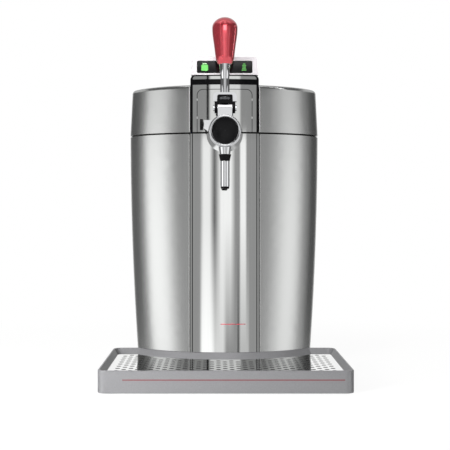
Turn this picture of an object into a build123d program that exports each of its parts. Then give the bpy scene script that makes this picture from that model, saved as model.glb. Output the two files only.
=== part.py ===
from build123d import *
import math
import os

# Mini keg beer dispenser: a cooled cabinet for a 5 litre keg, with a hinged lid that carries the
# tap, and a drip tray in front. Millimetres, +Z up, the tap faces -Y, the origin is on the table
# under the middle of the whole footprint.

# ---------------------------------------------------------------- cabinet
tray_reach = 144.0            # front of the drip tray to the face of the column
body_depth = 314.0            # face of the column to the rear wall
rear_cover_depth = 11.0
body_width = 268.3            # at its widest level
barrel_level = 334.0          # height of the widest level
barrel_radius = 4600.0        # radius of the long curve of the sides
front_depth = 75.5            # depth of the half-elliptical front
rear_corner = 60.0
skin_wall = 2.2
foot_height = 4.0
foot_diameter = 22.0
foot_rise = 3.0               # how far a foot's stem goes into the base plate
base_thickness = 8.0
base_inset = 1.6
seam_height = 324.7
seam_gap = 2.2
rim_inset = 3.0
rim_thickness = 5.0
fit_gap = 0.3                 # between pieces that lie on each other
running_gap = 0.05            # radial, around a shaft

# ---------------------------------------------------------------- column
panel_width = 86.2
panel_thickness = 3.0
panel_proud = 3.5             # face of the column ahead of the skin
column_radius = 230.0         # plan curve of the panel and of the head
panel_bottom = 14.0
trim_width = 2.2
trim_gap = 1.1
seal_width = 1.3              # black strip outside each trim
seal_setback = 0.6            # behind the face of the trims

# ---------------------------------------------------------------- keg well and insulation
keg_diameter = 172.0
keg_clearance = 3.0
well_depth = 262.0
well_wall = 1.2
well_setback = 176.0          # centre of the well ahead of the rear wall
well_flange = 4.0
foam_gap = 0.4
bulkhead_thickness = 2.0

# ---------------------------------------------------------------- cooling set
cooler_height = 196.0
cold_block_size = 80.0
cold_block_thickness = 12.0   # behind the back of the well
peltier_size = 50.0
peltier_thickness = 4.0
sink_width = 100.0
sink_base = 8.0
sink_fin_length = 30.0
sink_fin_thickness = 1.6
sink_fin_count = 13
fan_size = 92.0
fan_depth = 25.0
fan_bore = 86.0
fan_hub_diameter = 36.0
fan_shaft_diameter = 4.0
fan_blade_count = 7
fan_blade_thickness = 1.8
fan_blade_pitch = 38.0
fan_blade_tip_gap = 1.5
fan_spoke_width = 5.0
fan_spoke_depth = 3.0
fan_hub_cap = 2.0             # closed front of the hub

# ---------------------------------------------------------------- rear cover, inlet, switch, board
rear_cover_width = 196.0
rear_cover_bottom = 24.0
rear_cover_drop = 27.6        # top of the cover below the top of the cabinet
rear_cover_wall = 2.5
rear_cover_corner = 14.0
vent_slot_length = 112.0
vent_slot_height = 5.0
vent_pitch = 11.0
vent_count = 9
intake_count = 4
panel_part_height = 58.0      # height of the inlet and of the switch
panel_part_offset = 58.0      # each side of the middle
inlet_width = 30.0
inlet_height = 22.0
inlet_depth = 18.0
inlet_wall = 5.0
inlet_pin_diameter = 2.4
inlet_pin_spacing = 8.6
inlet_recess = 2.0            # pin tips behind the cover's face
switch_width = 14.0
switch_height = 21.0
switch_depth = 16.0
switch_bezel = 2.0
rocker_end_gap = 1.5          # room for the rocker's ends to swing
rocker_side_gap = 0.3
rocker_pin_diameter = 2.0
rocker_pivot_depth = 5.5      # behind the cover's face
rocker_face_depth = 0.4
rocker_throw = 4.0            # how much deeper the pressed end lies
rocker_foot = 3.0             # below the pivot
board_width = 130.0
board_height = 70.0
board_thickness = 1.6
board_level = 78.0
standoff_length = 8.0
standoff_diameter = 7.0
board_hole_diameter = 3.2
transformer_width = 32.0
transformer_height = 34.0
transformer_depth = 26.0
heat_plate_thickness = 4.0
heat_plate_height = 44.0
heat_plate_depth = 22.0
capacitor_diameter = 14.0
capacitor_length = 20.0
capacitor_spacing = 20.0

# ---------------------------------------------------------------- lid and hinges
lid_height = 65.3             # seam to the top edge at the front
lid_crown = 8.5               # rise of the dome above the edge
lid_dome_radius = 1500.0
lid_edge_radius = 5.0
lid_taper = 3.1               # how much each side leans in by the top edge
lid_wall = 2.2
liner_rise = 3.3              # underside of the liner above the seam
liner_thickness = 2.5
gasket_inner = 194.0
gasket_width = 7.0
hinge_offset = 70.0           # each side of the middle
hinge_length = 36.0
hinge_axis_behind = 5.0       # behind the rear wall
knuckle_diameter = 9.0
hinge_pin_diameter = 4.0
leaf_thickness = 2.4
leaf_height = 26.0
knuckle_gap = 0.4

# ---------------------------------------------------------------- head and display
head_height = 78.0            # above the seam
head_wall = 3.0
head_depth = 74.0
head_corner = 6.0
head_lid_gap = 0.45           # between the head and the lid's skin
face_height = 65.0            # steel face of the head, above the seam
face_thickness = 1.2
band_height = 7.4             # black band above the face
strip_height = 4.2            # steel strip above the band
strip_corner = 3.2
plate_width = 73.6
plate_height = 58.3           # above the seam
plate_corner = 7.4
plate_gap = 0.8               # open joint between the plate and the face
clip_low_rise = 20.4          # above the seam
clip_high_rise = 44.9
clip_height = 3.0
clip_side_gap = 0.05
clip_proud = 0.2
display_width = 90.6          # at its foot
display_draft = 1.3           # how much each side leans in by the top
display_height = 24.3
display_depth = 58.0
display_rear_height = 12.0
display_corner = 5.0
display_wall = 2.5
display_setback = 1.0         # behind the face of the column
display_brow = 16.0           # flat top behind the front edge
window_setback = 0.4
window_width = 75.2
window_height = 16.8
window_drop = 5.0             # below the top of the display
window_corner = 2.0
window_thickness = 2.0
lamp_offset_left = 26.3       # centre of the keg lamp, left of the middle
lamp_offset_right = 27.0      # centre of the temperature lamp, right of the middle
lamp_width_left = 11.6
lamp_width_right = 6.9
lamp_height = 12.0
lamp_depth = 4.0

# ---------------------------------------------------------------- tap
tap_drop = 2.0                # axis of the tap below the seam
barrel_front_diameter = 42.6
barrel_rear_diameter = 49.0
barrel_length = 48.5
barrel_edge = 2.0
ring_diameter = 41.5
ring_length = 8.0
ring_rim = 3.0
ring_floor = 2.0
ring_chamfer = 1.0
medallion_crown = 1.0
spout_reach = 43.0            # spout axis ahead of the column
cone_top_diameter = 18.2
cone_bottom_diameter = 14.0
cone_drop = 29.9              # its lower end below the tap's axis
collar_top_diameter = 16.4
collar_bottom_diameter = 12.6
collar_length = 8.8
spout_tube_diameter = 12.3
spout_tube_length = 33.3
spout_tip_length = 3.1
spout_tip_diameter = 11.4
spigot_diameter = 12.0
spigot_rise = 11.0            # above the barrel's underside
barb_length = 8.0
barb_bore = 2.4
line_diameter = 7.0
line_bore = 4.0
line_rise = 11.3              # above the seam
line_bend = 9.0
channel_clearance = 0.5
coupler_diameter = 44.0
coupler_stem_diameter = 26.0
coupler_drop = 12.0           # below the lid liner

# ---------------------------------------------------------------- lever
lever_reach = 32.0            # lever axis ahead of the column
pivot_rise = 31.6             # above the tap's axis
block_width = 18.7
block_depth = 16.0
block_rise = 5.3              # above the pivot
block_corner = 5.0
yoke_width = 30.8
yoke_opening = 20.8
yoke_depth = 12.0
yoke_rise = 20.1              # above the pivot
yoke_bridge = 2.9
yoke_corner = 5.5
yoke_foot_rise = 8.2          # lower end of the yoke above the pivot
fork_width = 27.2
fork_block_gap = 0.5          # beside the tap's block
fork_swing_radius = 8.4       # inside of the fork, clear of the block as it turns
fork_eye_diameter = 14.0
pivot_diameter = 5.0
pivot_head_diameter = 8.0
pivot_head_length = 1.6
cam_diameter = 7.2
cam_offset = 3.0
cam_width = 6.0
plunger_diameter = 6.4
rod_diameter = 12.2
rod_length = 18.1
stud_diameter = 6.0
stud_depth = 28.2             # how far the stud goes up into the grip
nut_diameter = 18.6
nut_thickness = 3.6
nut_rise = 10.5               # above the pivot
washer_diameter = 11.0
ferrule_length = 19.3
ferrule_bottom_diameter = 11.2
ferrule_top_diameter = 15.1
grip_length = 61.6
grip_neck_diameter = 18.4
grip_low_diameter = 25.3      # where the neck opens out
grip_low_rise = 11.0
grip_diameter = 33.7
grip_head_length = 14.8       # rounded head above the widest level

# ---------------------------------------------------------------- side flow control
flow_rise = 10.0              # above the tap's axis
flow_reach = 30.0
flow_boss_end = 28.5          # left of the middle
flow_boss_height = 10.8       # at its outer end
flow_boss_drop = 15.7         # how much lower its underside is at the middle
flow_boss_depth = 12.0
flow_boss_edge = 1.2
flow_knob_diameter = 14.6
flow_knob_thickness = 4.0
flow_knob_ribs = 16
flow_knob_rib_depth = 0.7
flow_stem_diameter = 4.0
flow_stem_length = 9.0

# ---------------------------------------------------------------- drip tray
tray_width = 308.6
tray_depth = 188.0
tray_height = 28.0
tray_corner = 11.0
tray_rear_corner = 5.0
tray_wall = 2.4
tray_floor = 5.5
tray_skirt_lift = 0.8
tray_edge = 1.2
tray_rim_side = 6.6
tray_rim_front = 6.6
tray_rim_rear = 9.0
tray_rim_drop = 8.0           # top of the grid below the top of the rim
tray_slope_width = 4.4        # sloping inside of the rim
tray_slope_drop = 7.4
tray_ledge = 3.0
tray_body_gap = 5.0           # beside the cabinet
tray_column_gap = 1.2         # in front of the column
tray_pad_diameter = 16.0
tray_pad_side = 34.0          # in from the side of the tray
tray_pad_front = 30.0
tray_pad_rear = 50.0
grid_thickness = 1.5
grid_hole_diameter = 5.8
grid_column_pitch = 17.0
grid_row_pitch = 16.4
grid_margin = 8.0
grid_fit = 0.4

# ---------------------------------------------------------------- fasteners
screw_head_diameter = 7.0
screw_head_thickness = 2.4
screw_shank_diameter = 3.5
screw_length = 10.0

# ---------------------------------------------------------------- places worked out from the sizes
overall_depth = tray_reach + body_depth + rear_cover_depth
tray_front_y = -overall_depth / 2
column_face_y = tray_front_y + tray_reach
skin_front_y = column_face_y + panel_proud
round_centre_y = skin_front_y + front_depth
body_rear_y = column_face_y + body_depth
cabinet_bottom = foot_height + base_thickness
cabinet_top = seam_height - seam_gap / 2
rear_cover_top = cabinet_top - rear_cover_drop
lid_bottom = seam_height + seam_gap / 2
rim_top = seam_height + fit_gap
lid_edge_height = seam_height + lid_height
well_centre_y = body_rear_y - well_setback
well_radius = keg_diameter / 2 + keg_clearance
well_floor = rim_top - well_depth
cold_face_y = well_centre_y + well_radius + well_wall + cold_block_thickness
sink_front_y = cold_face_y + peltier_thickness
fan_front_y = sink_front_y + sink_base + sink_fin_length + fit_gap
fan_rear_y = fan_front_y + fan_depth
rotor_front_y = fan_front_y + fan_spoke_depth / 2
bulkhead_y = well_centre_y + well_radius + well_wall + fit_gap
rear_cover_y = body_rear_y + rear_cover_depth
liner_bottom = seam_height + liner_rise
liner_top = liner_bottom + liner_thickness
hinge_axis_y = body_rear_y + hinge_axis_behind
trim_inner = panel_width / 2 + trim_gap
trim_outer = trim_inner + trim_width
head_width = 2 * trim_outer
head_top = seam_height + head_height
face_top = seam_height + face_height
strip_bottom = face_top + band_height
strip_top = strip_bottom + strip_height
plate_top = seam_height + plate_height
display_top = head_top + display_height
window_top = display_top - window_drop
window_bottom = window_top - window_height
window_front_y = column_face_y + display_setback + window_setback
tap_height = seam_height - tap_drop
line_height = seam_height + line_rise
flow_height = tap_height + flow_rise
pivot_height = tap_height + pivot_rise
block_top = pivot_height + block_rise
yoke_foot = pivot_height + yoke_foot_rise
yoke_top = pivot_height + yoke_rise
nut_level = pivot_height + nut_rise
rod_top = yoke_top + rod_length
grip_bottom = rod_top + ferrule_length
stud_top = grip_bottom + stud_depth
grip_top = grip_bottom + grip_length
grip_widest = grip_top - grip_head_length
cone_bottom = tap_height - cone_drop
collar_bottom = cone_bottom - collar_length
spout_tube_bottom = collar_bottom - spout_tube_length
spout_tip_bottom = spout_tube_bottom - spout_tip_length
barrel_rear_y = column_face_y - fit_gap
barrel_front_y = barrel_rear_y - barrel_length
ring_rear_y = barrel_front_y - fit_gap
spout_y = column_face_y - spout_reach
spigot_top = tap_height - barrel_front_diameter / 2 + spigot_rise
lever_y = column_face_y - lever_reach
flow_y = column_face_y - flow_reach
plunger_bottom = line_height + line_diameter / 2 + fit_gap
plunger_top = pivot_height - cam_offset - cam_diameter / 2 - fit_gap
tray_rear_y = tray_front_y + tray_depth
grid_top = tray_height - tray_rim_drop
grid_bottom = grid_top - grid_thickness


# ================================================================ shared shapes
def box_between(x0, x1, y0, y1, z0, z1):
    # a box from its two corners
    middle = Pos((x0 + x1) / 2, (y0 + y1) / 2, (z0 + z1) / 2)
    return middle * Box(x1 - x0, y1 - y0, z1 - z0)


def rod_along_y(radius, y0, y1, x, z):
    return Pos(x, (y0 + y1) / 2, z) * Rot(90, 0, 0) * Cylinder(radius, y1 - y0)


def rod_along_x(radius, x0, x1, y, z):
    return Pos((x0 + x1) / 2, y, z) * Rot(0, 90, 0) * Cylinder(radius, x1 - x0)


def rod_along_z(radius, z0, z1, x, y):
    return Pos(x, y, (z0 + z1) / 2) * Cylinder(radius, z1 - z0)


def cone_along_z(bottom_radius, top_radius, z0, z1, x, y):
    return Pos(x, y, (z0 + z1) / 2) * Cone(bottom_radius, top_radius, z1 - z0)


def rounded_plate_y(width, z0, z1, y0, y1, corner, x=0.0):
    # an upright plate with rounded corners, thickness along Y
    outline = Plane.XZ * RectangleRounded(width, z1 - z0, corner)
    plate = extrude(outline, y1 - y0)
    return Pos(x, y1, (z0 + z1) / 2) * plate


def side_half_width(level):
    # half the cabinet's width at a height: the sides are one long arc
    below = barrel_level - level
    drop = barrel_radius - math.sqrt(barrel_radius ** 2 - below ** 2)
    return body_width / 2 - drop


def lid_half_width(level):
    # half the lid's width at a height: the sides lean in evenly
    share = (level - seam_height) / lid_height
    return side_half_width(seam_height) - lid_taper * share


def plan_face(half_width, inset):
    # plan of the cabinet: half-elliptical front, straight sides, round rear corners
    a = half_width - inset
    b = front_depth - inset
    rear = body_rear_y - inset
    corner = rear_corner - inset
    start = rear - corner
    front = EllipticalCenterArc((0, round_centre_y), a, b, 180, arc_size=180)
    right = Line((a, round_centre_y), (a, start))
    right_corner = CenterArc((a - corner, start), corner, 0, 90)
    back = Line((a - corner, rear), (corner - a, rear))
    left_corner = CenterArc((corner - a, start), corner, 90, 90)
    left = Line((-a, start), (-a, round_centre_y))
    return make_face([front, right, right_corner, back, left_corner, left])


def plan_form(bottom, top, inset, half_width_at, levels):
    # the cabinet's form between two heights, as one loft
    sections = []
    for i in range(levels):
        level = bottom + (top - bottom) * i / (levels - 1)
        sections.append(Pos(0, 0, level) * plan_face(half_width_at(level), inset))
    return loft(sections)


def cabinet_form(bottom, top, inset):
    return plan_form(bottom, top, inset, side_half_width, 4)


def arc_slab(width, face_y, thickness, bottom, top):
    # an upright plate bent to the column's plan curve
    half = width / 2
    centre_y = face_y + column_radius
    inner = column_radius - thickness
    front_edge = centre_y - math.sqrt(column_radius ** 2 - half ** 2)
    back_edge = centre_y - math.sqrt(inner ** 2 - half ** 2)
    front = ThreePointArc((-half, front_edge), (0, face_y), (half, front_edge))
    right = Line((half, front_edge), (half, back_edge))
    back = ThreePointArc((half, back_edge), (0, face_y + thickness), (-half, back_edge))
    left = Line((-half, back_edge), (-half, front_edge))
    face = make_face([front, right, back, left])
    return Pos(0, 0, bottom) * extrude(face, top - bottom)


def beer_path():
    # from the keg coupler forward, round one bend, and down through the spout
    start = (0, well_centre_y - coupler_stem_diameter / 2 - fit_gap, line_height)
    corner = (0, spout_y, line_height)
    end = (0, spout_y, spout_tip_bottom + 0.6)
    return FilletPolyline(start, corner, end, radius=line_bend)


def beer_channel(radius):
    path = beer_path()
    profile = Plane(path @ 0, z_dir=path % 0) * Circle(radius)
    return sweep(profile, path)


def screw(x, y, z, turn):
    # pan-head screw: the head points along +Z before it is turned
    head = Pos(0, 0, screw_head_thickness / 2) * Cylinder(screw_head_diameter / 2, screw_head_thickness)
    shank = Pos(0, 0, -screw_length / 2) * Cylinder(screw_shank_diameter / 2, screw_length)
    return Pos(x, y, z) * turn * (head + shank)


def foot_places():
    # under the four corners of the base
    front = round_centre_y - front_depth / 3
    rear = body_rear_y - rear_corner
    side = side_half_width(0) - 1.5 * foot_diameter
    return [(sx * side, y) for sx in (-1, 1) for y in (front, rear)]


def base_screw_places():
    side = side_half_width(0) - 0.9 * foot_diameter
    return [(sx * side, y) for sx in (-1, 1) for y in (round_centre_y + 20, well_centre_y + 60)]


def rear_screw_places():
    side = rear_cover_width / 2 - rear_cover_corner / 1.4
    low = rear_cover_bottom + rear_cover_corner / 1.4
    high = rear_cover_top - rear_cover_corner / 1.4
    return [(sx * side, z) for sx in (-1, 1) for z in (low, high)]


# ================================================================ cabinet
def make_body_shell():
    # satin steel skin, open at the top and the bottom, with a window behind the rear cover
    outer = cabinet_form(cabinet_bottom, cabinet_top, 0)
    inner = cabinet_form(cabinet_bottom - 1, cabinet_top + 1, skin_wall)
    margin = rear_cover_corner
    half = rear_cover_width / 2 - margin
    window = box_between(-half, half, body_rear_y - 3 * skin_wall, body_rear_y + 1,
                         rear_cover_bottom + margin, rear_cover_top - margin)
    shell = outer - inner - window
    for x, z in rear_screw_places():
        shell -= rod_along_y(screw_shank_diameter / 2 + fit_gap, body_rear_y - 3 * skin_wall,
                             body_rear_y + 1, x, z)
    return shell


def make_base_plate():
    plate = cabinet_form(foot_height, cabinet_bottom, base_inset)
    for x, y in foot_places():
        hole = foot_diameter / 4 + fit_gap
        plate -= rod_along_z(hole, foot_height - 1, foot_height + foot_rise + fit_gap, x, y)
    for x, y in base_screw_places():
        plate -= rod_along_z(screw_head_diameter / 2 + fit_gap, foot_height - 1,
                             foot_height + screw_head_thickness + fit_gap, x, y)
        plate -= rod_along_z(screw_shank_diameter / 2 + fit_gap, foot_height - 1,
                             cabinet_bottom + 1, x, y)
    return plate


def make_rubber_feet():
    feet = []
    for x, y in foot_places():
        pad = cone_along_z(foot_diameter / 2 - 1.5, foot_diameter / 2, 0, foot_height, x, y)
        stem = rod_along_z(foot_diameter / 4, foot_height, foot_height + foot_rise, x, y)
        feet.append(pad + stem)
    return feet


def make_base_screws():
    turn = Rot(180, 0, 0)
    level = foot_height + screw_head_thickness + fit_gap
    return [screw(x, y, level, turn) for x, y in base_screw_places()]


def make_top_rim():
    # black frame at the mouth of the cabinet: it shows as the seam under the lid
    lip = cabinet_form(cabinet_top, rim_top, rim_inset)
    frame = cabinet_form(rim_top - rim_thickness, cabinet_top, skin_wall + fit_gap)
    mouth = rod_along_z(well_radius + well_wall + fit_gap, rim_top - 2 * rim_thickness,
                        rim_top + 1, 0, well_centre_y)
    return lip + frame - mouth


def make_keg_well():
    # aluminium cup with a flange that hangs on the rim
    outer_radius = well_radius + well_wall
    flange = rod_along_z(outer_radius + well_flange, rim_top, rim_top + well_wall, 0, well_centre_y)
    cup = rod_along_z(outer_radius, well_floor - well_wall, rim_top, 0, well_centre_y)
    room = rod_along_z(well_radius, well_floor, rim_top + 2 * well_wall, 0, well_centre_y)
    return flange + cup - room


def make_insulation():
    # foam round the well, in front of the bulkhead
    top = rim_top - rim_thickness - fit_gap
    foam = cabinet_form(cabinet_bottom + fit_gap, top, skin_wall + foam_gap)
    well = rod_along_z(well_radius + well_wall + foam_gap, well_floor - well_wall - foam_gap,
                       top + 1, 0, well_centre_y)
    behind = box_between(-body_width, body_width, bulkhead_y - fit_gap, body_rear_y + 10,
                         0, lid_edge_height)
    half = cold_block_size / 2 + foam_gap
    pocket = box_between(-half, half, well_centre_y, bulkhead_y + 1,
                         cooler_height - half, cooler_height + half)
    foam = foam - well - behind - pocket
    for x, y in base_screw_places():
        foam -= rod_along_z(screw_shank_diameter / 2 + fit_gap, 0,
                            foot_height + screw_head_thickness + screw_length + 1, x, y)
    return foam


def make_bulkhead():
    # plate between the insulation and the machine space, with a window for the cold block
    top = rim_top - rim_thickness - fit_gap
    form = cabinet_form(cabinet_bottom + fit_gap, top, skin_wall + foam_gap)
    slab = box_between(-body_width, body_width, bulkhead_y, bulkhead_y + bulkhead_thickness,
                       0, lid_edge_height)
    half = cold_block_size / 2 + fit_gap
    window = box_between(-half, half, bulkhead_y - 1, bulkhead_y + bulkhead_thickness + 1,
                         cooler_height - half, cooler_height + half)
    return (form & slab) - window


def column_strips(inner, outer, setback):
    # a pair of upright strips in the column's plan curve, kept off the skin
    front = column_face_y + setback
    slab = arc_slab(2 * outer, front, panel_thickness - setback, panel_bottom, cabinet_top)
    if inner > 0:
        slab -= box_between(-inner, inner, front - panel_thickness, round_centre_y,
                            panel_bottom - 1, cabinet_top + 1)
    return slab - cabinet_form(panel_bottom - 1, cabinet_top + 1, -fit_gap)


def make_front_panel():
    return column_strips(0, panel_width / 2, 0)


def make_panel_trim():
    # two narrow strips that frame the column
    return column_strips(trim_inner, trim_outer, 0)


def make_panel_seals():
    # black strips on both sides of each trim, a little behind its face
    room = fit_gap / 3
    inside = column_strips(panel_width / 2 + room, trim_inner - room, seal_setback)
    outside = column_strips(trim_outer + room, trim_outer + seal_width, seal_setback)
    return inside + outside


# ================================================================ cooling set
def make_cold_block():
    # aluminium block with a saddle that fits the well
    half = cold_block_size / 2
    block = box_between(-half, half, well_centre_y + well_radius * 0.8, cold_face_y,
                        cooler_height - half, cooler_height + half)
    well = rod_along_z(well_radius + well_wall + fit_gap, 0, lid_edge_height, 0, well_centre_y)
    return block - well


def make_peltier_module():
    half = peltier_size / 2
    return box_between(-half, half, cold_face_y, sink_front_y,
                       cooler_height - half, cooler_height + half)


def make_heat_sink():
    half = sink_width / 2
    low = cooler_height - half
    high = cooler_height + half
    base_rear = sink_front_y + sink_base
    sink = box_between(-half, half, sink_front_y, base_rear, low, high)
    pitch = (sink_width - sink_fin_thickness) / (sink_fin_count - 1)
    for i in range(sink_fin_count):
        x = -half + i * pitch
        sink += box_between(x, x + sink_fin_thickness, base_rear, base_rear + sink_fin_length, low, high)
    return sink


def make_fan_frame():
    half = fan_size / 2
    frame = rounded_plate_y(fan_size, cooler_height - half, cooler_height + half,
                            fan_front_y, fan_rear_y, 5.0)
    frame -= rod_along_y(fan_bore / 2, fan_front_y - 1, fan_rear_y + 1, 0, cooler_height)
    spoke_front = fan_rear_y - fan_spoke_depth
    hub = rod_along_y(fan_hub_diameter / 2, spoke_front, fan_rear_y, 0, cooler_height)
    shaft_front = rotor_front_y + fan_hub_cap + fit_gap
    shaft = rod_along_y(fan_shaft_diameter / 2, shaft_front, spoke_front, 0, cooler_height)
    reach = fan_bore / 2 + 1
    spoke = fan_spoke_width / 2
    bars = box_between(-reach, reach, spoke_front, fan_rear_y,
                       cooler_height - spoke, cooler_height + spoke)
    bars += box_between(-spoke, spoke, spoke_front, fan_rear_y,
                        cooler_height - reach, cooler_height + reach)
    return frame + hub + shaft + bars


def make_fan_rotor():
    # hub and pitched blades, running on the frame's shaft
    front = rotor_front_y
    rear = fan_rear_y - fan_spoke_depth - 2 * fit_gap
    middle = (front + rear) / 2
    hub_radius = fan_hub_diameter / 2
    tip = fan_bore / 2 - fan_blade_tip_gap
    rotor = rod_along_y(hub_radius, front, rear, 0, cooler_height)
    chord = (rear - front) * 1.1
    length = tip - hub_radius + 3
    for i in range(fan_blade_count):
        turn = 360.0 * i / fan_blade_count
        blade = Box(fan_blade_thickness, chord, length)
        blade = Pos(0, 0, hub_radius - 3 + length / 2) * Rot(0, 0, fan_blade_pitch) * blade
        rotor += Pos(0, middle, cooler_height) * Rot(0, turn, 0) * blade
    bore = rod_along_y(fan_shaft_diameter / 2 + running_gap, front + fan_hub_cap, rear + 1, 0, cooler_height)
    return rotor - bore


def make_power_board():
    # circuit board behind the bulkhead with its tall parts
    front = bulkhead_y + bulkhead_thickness + standoff_length
    low = board_level - board_height / 2
    high = board_level + board_height / 2
    half = board_width / 2
    rear = front + board_thickness
    board = box_between(-half, half, front, rear, low, high)
    left = -half + 2 * standoff_diameter
    board += box_between(left, left + transformer_width, rear, rear + transformer_depth,
                         board_level - transformer_height / 2, board_level + transformer_height / 2)
    right = half - 4 * standoff_diameter
    board += box_between(right - heat_plate_thickness, right, rear, rear + heat_plate_depth,
                         board_level - heat_plate_height / 2, board_level + heat_plate_height / 2)
    for side in (-1, 1):
        x = standoff_diameter + side * capacitor_spacing / 2
        board += rod_along_y(capacitor_diameter / 2, rear, rear + capacitor_length, x, board_level)
    for x, z in standoff_places():
        board -= rod_along_y(board_hole_diameter / 2, front - 1, rear + 1, x, z)
    return board


def standoff_places():
    x = board_width / 2 - standoff_diameter
    z = board_height / 2 - standoff_diameter
    return [(sx * x, board_level + sz * z) for sx in (-1, 1) for sz in (-1, 1)]


def make_board_standoffs():
    front = bulkhead_y + bulkhead_thickness
    rear = front + standoff_length
    return [rod_along_y(standoff_diameter / 2, front, rear, x, z) for x, z in standoff_places()]


# ================================================================ rear cover and what it carries
def make_rear_cover():
    # moulded cover with the fan's outlet slots and the intake slots below
    cover = rounded_plate_y(rear_cover_width, rear_cover_bottom, rear_cover_top,
                            body_rear_y + fit_gap, rear_cover_y, rear_cover_corner)
    face = cover.faces().sort_by(Axis.Y)[-1]
    cover = fillet(face.edges(), 3.0)
    wall = rear_cover_wall
    room = rounded_plate_y(rear_cover_width - 2 * wall, rear_cover_bottom + wall, rear_cover_top - wall,
                           body_rear_y - 1, rear_cover_y - wall, rear_cover_corner - wall)
    for x, z in rear_screw_places():
        room -= rod_along_y(screw_head_diameter / 2 + wall, body_rear_y - 1, rear_cover_y, x, z)
    cover -= room
    slots = []
    for i in range(vent_count):
        slots.append(cooler_height + (i - (vent_count - 1) / 2) * vent_pitch)
    for i in range(intake_count):
        slots.append(cooler_height - (vent_count / 2 + 2 + i) * vent_pitch)
    for z in slots:
        cover -= rounded_plate_y(vent_slot_length, z - vent_slot_height / 2, z + vent_slot_height / 2,
                                 rear_cover_y - 2 * wall, rear_cover_y + 1, vent_slot_height / 2 - 0.1)
    cover -= rounded_plate_y(inlet_width + 2 * fit_gap, panel_part_height - inlet_height / 2 - fit_gap,
                             panel_part_height + inlet_height / 2 + fit_gap, body_rear_y - 1,
                             rear_cover_y + 1, 3.0, -panel_part_offset)
    cover -= rounded_plate_y(switch_width + 2 * fit_gap, panel_part_height - switch_height / 2 - fit_gap,
                             panel_part_height + switch_height / 2 + fit_gap, body_rear_y - 1,
                             rear_cover_y + 1, 1.5, panel_part_offset)
    for x, z in rear_screw_places():
        cover -= rod_along_y(screw_shank_diameter / 2 + fit_gap, body_rear_y - 1, rear_cover_y + 1, x, z)
        cover -= rod_along_y(screw_head_diameter / 2 + fit_gap, rear_cover_y - screw_head_thickness,
                             rear_cover_y + 1, x, z)
    return cover


def make_rear_screws():
    turn = Rot(-90, 0, 0)
    seat = rear_cover_y - screw_head_thickness
    screws = []
    for x, z in rear_screw_places():
        screws.append(screw(x, seat, z, turn))
    return screws


def make_mains_inlet():
    # two-pin appliance socket
    low = panel_part_height - inlet_height / 2
    high = panel_part_height + inlet_height / 2
    x = -panel_part_offset
    front = rear_cover_y - inlet_depth
    socket = rounded_plate_y(inlet_width, low, high, front, rear_cover_y, 2.6, x)
    mouth = inlet_height / 2 - inlet_wall - 1
    socket -= rounded_plate_y(inlet_width - 2 * inlet_wall, panel_part_height - mouth,
                              panel_part_height + mouth, front + inlet_wall, rear_cover_y + 1,
                              mouth - 0.4, x)
    for side in (-1, 1):
        px = x + side * inlet_pin_spacing / 2
        socket += rod_along_y(inlet_pin_diameter / 2, front + 3, rear_cover_y - inlet_recess,
                              px, panel_part_height)
    return socket


def make_switch_housing():
    low = panel_part_height - switch_height / 2
    high = panel_part_height + switch_height / 2
    x = panel_part_offset
    front = rear_cover_y - switch_depth
    housing = rounded_plate_y(switch_width, low, high, front, rear_cover_y, 1.2, x)
    bezel = switch_bezel
    housing -= rounded_plate_y(switch_width - 2 * bezel, low + bezel, high - bezel, front + 3,
                               rear_cover_y + 1, 0.5, x)
    half = switch_width / 2
    return housing - rod_along_x(rocker_pin_diameter / 2 + running_gap, x - half - 1, x + half + 1,
                                 rear_cover_y - rocker_pivot_depth, panel_part_height)


def make_switch_rocker():
    # rocker with two flat faces, on a pin across the housing
    half_height = switch_height / 2 - switch_bezel - rocker_end_gap
    half_width = switch_width / 2 - switch_bezel - rocker_side_gap
    pivot_y = rear_cover_y - rocker_pivot_depth
    face_y = rear_cover_y - rocker_face_depth
    middle_y = face_y - rocker_throw / 3
    foot_y = pivot_y - rocker_foot
    outline = Polyline((foot_y, -half_height * 0.45), (face_y - rocker_throw / 2, -half_height),
                       (face_y, -half_height), (middle_y, 0), (middle_y, half_height * 0.9),
                       (face_y - rocker_throw, half_height * 0.9), (foot_y, half_height * 0.45),
                       close=True)
    face = make_face(Plane.YZ * outline)
    rocker = extrude(face, half_width, both=True)
    pin_half = switch_width / 2 - fit_gap
    rocker += rod_along_x(rocker_pin_diameter / 2, -pin_half, pin_half, pivot_y, 0)
    return Pos(panel_part_offset, 0, panel_part_height) * rocker


# ================================================================ lid
def lid_form(inset, bottom, crown_inset, edge_radius):
    # the lid's form: the cabinet's plan, leaning in, closed by a shallow dome
    apex = lid_edge_height + lid_crown - crown_inset
    block = plan_form(bottom, apex + lid_wall, inset, lid_half_width, 3)
    dome_centre = (skin_front_y + body_rear_y) / 2
    dome = Pos(0, dome_centre, apex - lid_dome_radius) * Sphere(lid_dome_radius)
    form = block & dome
    top = form.faces().sort_by(Axis.Z)[-1]
    return fillet(top.edges(), edge_radius)


def make_lid_shell():
    # satin steel lid skin with a hole for the beer line
    outer = lid_form(0, lid_bottom, 0, lid_edge_radius)
    inner = lid_form(lid_wall, lid_bottom - 1, lid_wall, lid_edge_radius - lid_wall)
    hole = rod_along_y(line_diameter / 2 + 1, skin_front_y - 5, skin_front_y + 10, 0, line_height)
    return outer - inner - hole


def make_lid_liner():
    # plate that closes the lid from below
    plate = plan_form(liner_bottom, liner_top, lid_wall + fit_gap, lid_half_width, 2)
    hole = rod_along_z(coupler_stem_diameter / 2 + fit_gap, liner_bottom - 1, liner_top + 1,
                       0, well_centre_y)
    return plate - hole


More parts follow.
